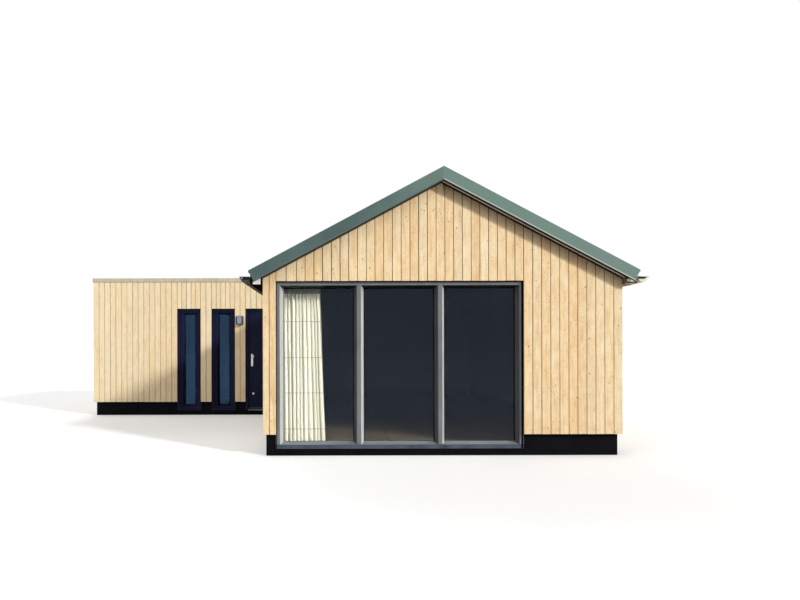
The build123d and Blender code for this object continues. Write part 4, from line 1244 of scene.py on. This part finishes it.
class BUNGALOW_OT_entrance(bpy.types.Operator):
    """Finish the entrance leaf, its threshold, handles and hinges"""
    bl_idname = "bungalow.entrance"
    bl_label = "Entrance"

    def execute(self, context):
        coated_finish("door_paint", context.scene.bungalow_colours.door, 0.40, 0.03, shine=0.08)
        worn_metal_finish("threshold_metal", tone(104, 105, 108), 0.5, (60, 1, 1))
        worn_metal_finish("handle_steel", tone(214, 214, 215), 0.3)
        dress("door_paint", "door_leaf")
        dress("threshold_metal", "door_threshold")
        dress("handle_steel", "door_handles", "frame_hinges", "leaf_hinges")
        self.weather_bar()
        return {"FINISHED"}

    def weather_bar(self):
        """A drip bar with a sloping top along the foot of the leaf."""
        lo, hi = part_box("door_leaf")
        bm = bmesh.new()
        left, right, back = lo.x + 0.030, hi.x - 0.030, lo.y
        front = back - 0.020
        line = ((back, 0.132), (front, 0.136), (front, 0.148), (back, 0.172))
        face = bm.faces.new([bm.verts.new((left, y, z)) for y, z in line])
        push(bm, [face], (right - left, 0, 0))
        ease_sharp(bm, 0.0015, 2)
        place_piece(bm, "door_weather_bar", "door_paint", body=DOOR,
                    among=bpy.data.materials)


def clamp(value, least=0.0, most=1.0):
    """A value kept between two limits."""
    return min(most, max(least, value))


class BUNGALOW_OT_curtain(bpy.types.Operator):
    """Hang the gathered curtain under its rail"""
    bl_idname = "bungalow.curtain"
    bl_label = "Curtain"

    def execute(self, context):
        sizes = context.scene.bungalow_curtain
        lo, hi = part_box("curtain")
        coated_finish("rail_paint", tone(226, 226, 224), 0.4, 0.03)
        cloth_finish()
        dress("rail_paint", "curtain_rail")
        bm = bmesh.new()
        columns, rows = 280, 110
        bmesh.ops.create_grid(bm, x_segments=columns, y_segments=rows, size=0.5)
        uv = bm.loops.layers.uv.new("cloth")
        for face in bm.faces:
            for loop in face.loops:
                u, v = loop.vert.co.x + 0.5, loop.vert.co.y + 0.5
                loop[uv].uv = (u * sizes.cloth_width, lo.z + v * (hi.z - lo.z))
        for vert in bm.verts:
            vert.co = self.hang(vert.co.x + 0.5, vert.co.y + 0.5, lo, hi, sizes)
        cloth = place_piece(bm, "curtain_folds", "curtain_cloth", ("curtain",), 60)
        thickness = cloth.modifiers.new("cloth_thickness", "SOLIDIFY")
        thickness.thickness = sizes.cloth_thickness
        thickness.offset = 0.0
        return {"FINISHED"}

    def hang(self, u, v, lo, hi, sizes):
        """A point of the cloth, u across and v up: round folds with narrow valleys."""
        height = hi.z - lo.z
        below = 1 - v
        header = sizes.header / height
        tight = clamp((v - 1 + 1.35 * header) / (0.45 * header))
        tight = tight * tight * (3 - 2 * tight)
        drift = 0.045 * noise.noise(Vector((u * 3.1, v * 0.6, 4.2)))
        drift += 0.022 * noise.noise(Vector((u * 9.0, v * 1.3, 9.7)))
        turn = (u + drift) * sizes.pleats
        fold = math.floor(turn)
        own = 0.80 + 0.45 * noise.noise(Vector((fold * 1.7, v * 0.9, 1.0)))
        crown = (math.sin(math.pi * (turn - fold)) ** 2 + 0.008) ** 0.34
        gather = clamp((v - 0.80) * 6) * (1 - tight)
        crown += gather * 0.20 * math.sin(turn * 4 * math.pi + fold)
        crown += gather * 0.14 * math.sin(turn * 7.3 * math.pi + 2 * fold + 9 * below)
        crown += 0.06 * math.sin(turn * 2 * math.pi + 2.5 * below + fold) * (1 - tight)
        deep = (hi.y - lo.y - 0.006) * 0.72 * min(1.0, own)
        loose = hi.y - 0.003 - deep * clamp(crown)
        pencil = (lo.y + hi.y) / 2 + 0.010 * math.sin(u * 2 * math.pi * sizes.pencil_pleats)
        y = loose * (1 - tight) + pencil * tight
        width = (hi.x - lo.x) * (1 - 0.117 * v) - 0.012
        side = -0.0060 * math.sin(2 * math.pi * turn) * (1 - tight)
        x = lo.x + 0.006 + width * u + side
        return Vector((clamp(x, lo.x, hi.x), clamp(y, lo.y, hi.y), lo.z + v * height))


class BUNGALOW_OT_lamp(bpy.types.Operator):
    """Finish the wall lamp"""
    bl_idname = "bungalow.lamp"
    bl_label = "Wall lamp"

    def execute(self, context):
        coated_finish("lamp_coating", tone(40, 42, 47), 0.42, 0.05)
        opal_finish()
        dress("lamp_coating", "lamp_bracket")
        dress("opal_glass", "lamp_shade")
        return {"FINISHED"}


# Stage

class BUNGALOW_OT_stage(bpy.types.Operator):
    """Set the floor, the lights, the white surround and the camera"""
    bl_idname = "bungalow.stage"
    bl_label = "Stage"

    def execute(self, context):
        self.floor()
        self.surround(context)
        self.lamps()
        self.camera(context)
        context.scene.view_settings.view_transform = "Standard"
        return {"FINISHED"}

    def floor(self):
        """A wide pale floor that keeps the shadow of the house."""
        f = Finish("stage_floor")
        f.plug(f.shader, {"Base Color": (0.34, 0.34, 0.33, 1), "Roughness": 0.9,
                          "Specular IOR Level": 0.1})
        pale = f.add("BsdfDiffuse", {"Color": (0.80, 0.80, 0.80, 1)})
        glow = f.add("Emission", {"Color": (1, 1, 1, 1), "Strength": 0.22})
        f.show(f.looked_at(), Value(f, f.shader.outputs[0]), f.add("AddShader", {0: pale, 1: glow}))
        bm = bmesh.new()
        bmesh.ops.create_grid(bm, x_segments=1, y_segments=1, size=300)
        mesh = bpy.data.meshes.new("stage_floor")
        bm.to_mesh(mesh)
        bm.free()
        mesh.materials.append(FINISHES["stage_floor"])
        plane = bpy.data.objects.new("stage_floor", mesh)
        plane.location.z = -0.001
        bpy.context.scene.collection.objects.link(plane)

    def surround(self, context):
        """White for the camera, mirrors and glass; a softer light for the rest."""
        world = bpy.data.worlds.new("studio")
        context.scene.world = world
        world.use_nodes = True
        nodes = Nodes(world.node_tree)
        light = nodes.tree.nodes["Background"]
        nodes.plug(light, {"Color": (1, 1, 1, 1), "Strength": 0.54})
        white = nodes.add("Background", {"Color": (1, 1, 1, 1), "Strength": 1.0})
        nodes.show(nodes.looked_at(), Value(nodes, light.outputs[0]), white, "World Output")

    def lamps(self):
        """Wide soft key from the right and a weaker fill from the left and back."""
        for name, toward, strength, angle in (
            ("key_light", (0.88, -0.76, 0.50), 2.45, 5.0),
            ("fill_light", (-1.0, -0.6, 0.6), 0.75, 50.0),
            ("back_light", (-0.2, 1.0, 0.7), 1.20, 40.0),
        ):
            data = bpy.data.lights.new(name, "SUN")
            data.energy = strength
            data.angle = math.radians(angle)
            lamp = bpy.data.objects.new(name, data)
            lamp.rotation_mode = "QUATERNION"
            lamp.rotation_quaternion = (-Vector(toward)).to_track_quat("-Z", "Y")
            bpy.context.scene.collection.objects.link(lamp)

    def camera(self, context):
        """The photograph's level view from in front, left of the middle of the main volume."""
        data = bpy.data.cameras.new("camera")
        data.sensor_width = 36.0
        data.lens = 27.0
        data.shift_x = 0.0694
        data.shift_y = 0.0626
        data.clip_end = 400
        camera = bpy.data.objects.new("camera", data)
        camera.location = (-1.341, -12.749, 1.455)
        camera.rotation_mode = "QUATERNION"
        level = Quaternion((1, 0, 0), math.radians(90))
        camera.rotation_quaternion = level @ Quaternion((0, 0, 1), math.radians(-0.13))
        context.scene.collection.objects.link(camera)
        context.scene.camera = camera


class BUNGALOW_PT_panel(bpy.types.Panel):
    """Sidebar panel with the sizes, colours and steps"""
    bl_label = "Bungalow"
    bl_idname = "BUNGALOW_PT_panel"
    bl_space_type = "VIEW_3D"
    bl_region_type = "UI"
    bl_category = "Bungalow"

    def draw(self, context):
        for group in (context.scene.bungalow_cladding, context.scene.bungalow_curtain,
                      context.scene.bungalow_colours):
            for name in group.bl_rna.properties.keys():
                if name not in ("rna_type", "name"):
                    self.layout.prop(group, name)
        for step in STEPS:
            self.layout.operator(step.bl_idname)


STEPS = (
    BUNGALOW_OT_structure,
    BUNGALOW_OT_cladding,
    BUNGALOW_OT_roof,
    BUNGALOW_OT_glazing,
    BUNGALOW_OT_entrance,
    BUNGALOW_OT_curtain,
    BUNGALOW_OT_lamp,
    BUNGALOW_OT_stage,
)
CLASSES = (CladdingSizes, CurtainSizes, HouseColours) + STEPS + (BUNGALOW_PT_panel,)


def register():
    for group in CLASSES:
        bpy.utils.register_class(group)
    bpy.types.Scene.bungalow_cladding = PointerProperty(type=CladdingSizes)
    bpy.types.Scene.bungalow_curtain = PointerProperty(type=CurtainSizes)
    bpy.types.Scene.bungalow_colours = PointerProperty(type=HouseColours)


def unregister():
    del bpy.types.Scene.bungalow_colours
    del bpy.types.Scene.bungalow_curtain
    del bpy.types.Scene.bungalow_cladding
    for group in reversed(CLASSES):
        bpy.utils.unregister_class(group)


def main():
    """Register the add-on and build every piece."""
    register()
    bpy.ops.bungalow.structure()
    bpy.ops.bungalow.cladding()
    bpy.ops.bungalow.roof()
    bpy.ops.bungalow.glazing()
    bpy.ops.bungalow.entrance()
    bpy.ops.bungalow.curtain()
    bpy.ops.bungalow.lamp()
    bpy.ops.bungalow.stage()


if __name__ == "__main__":
    main()
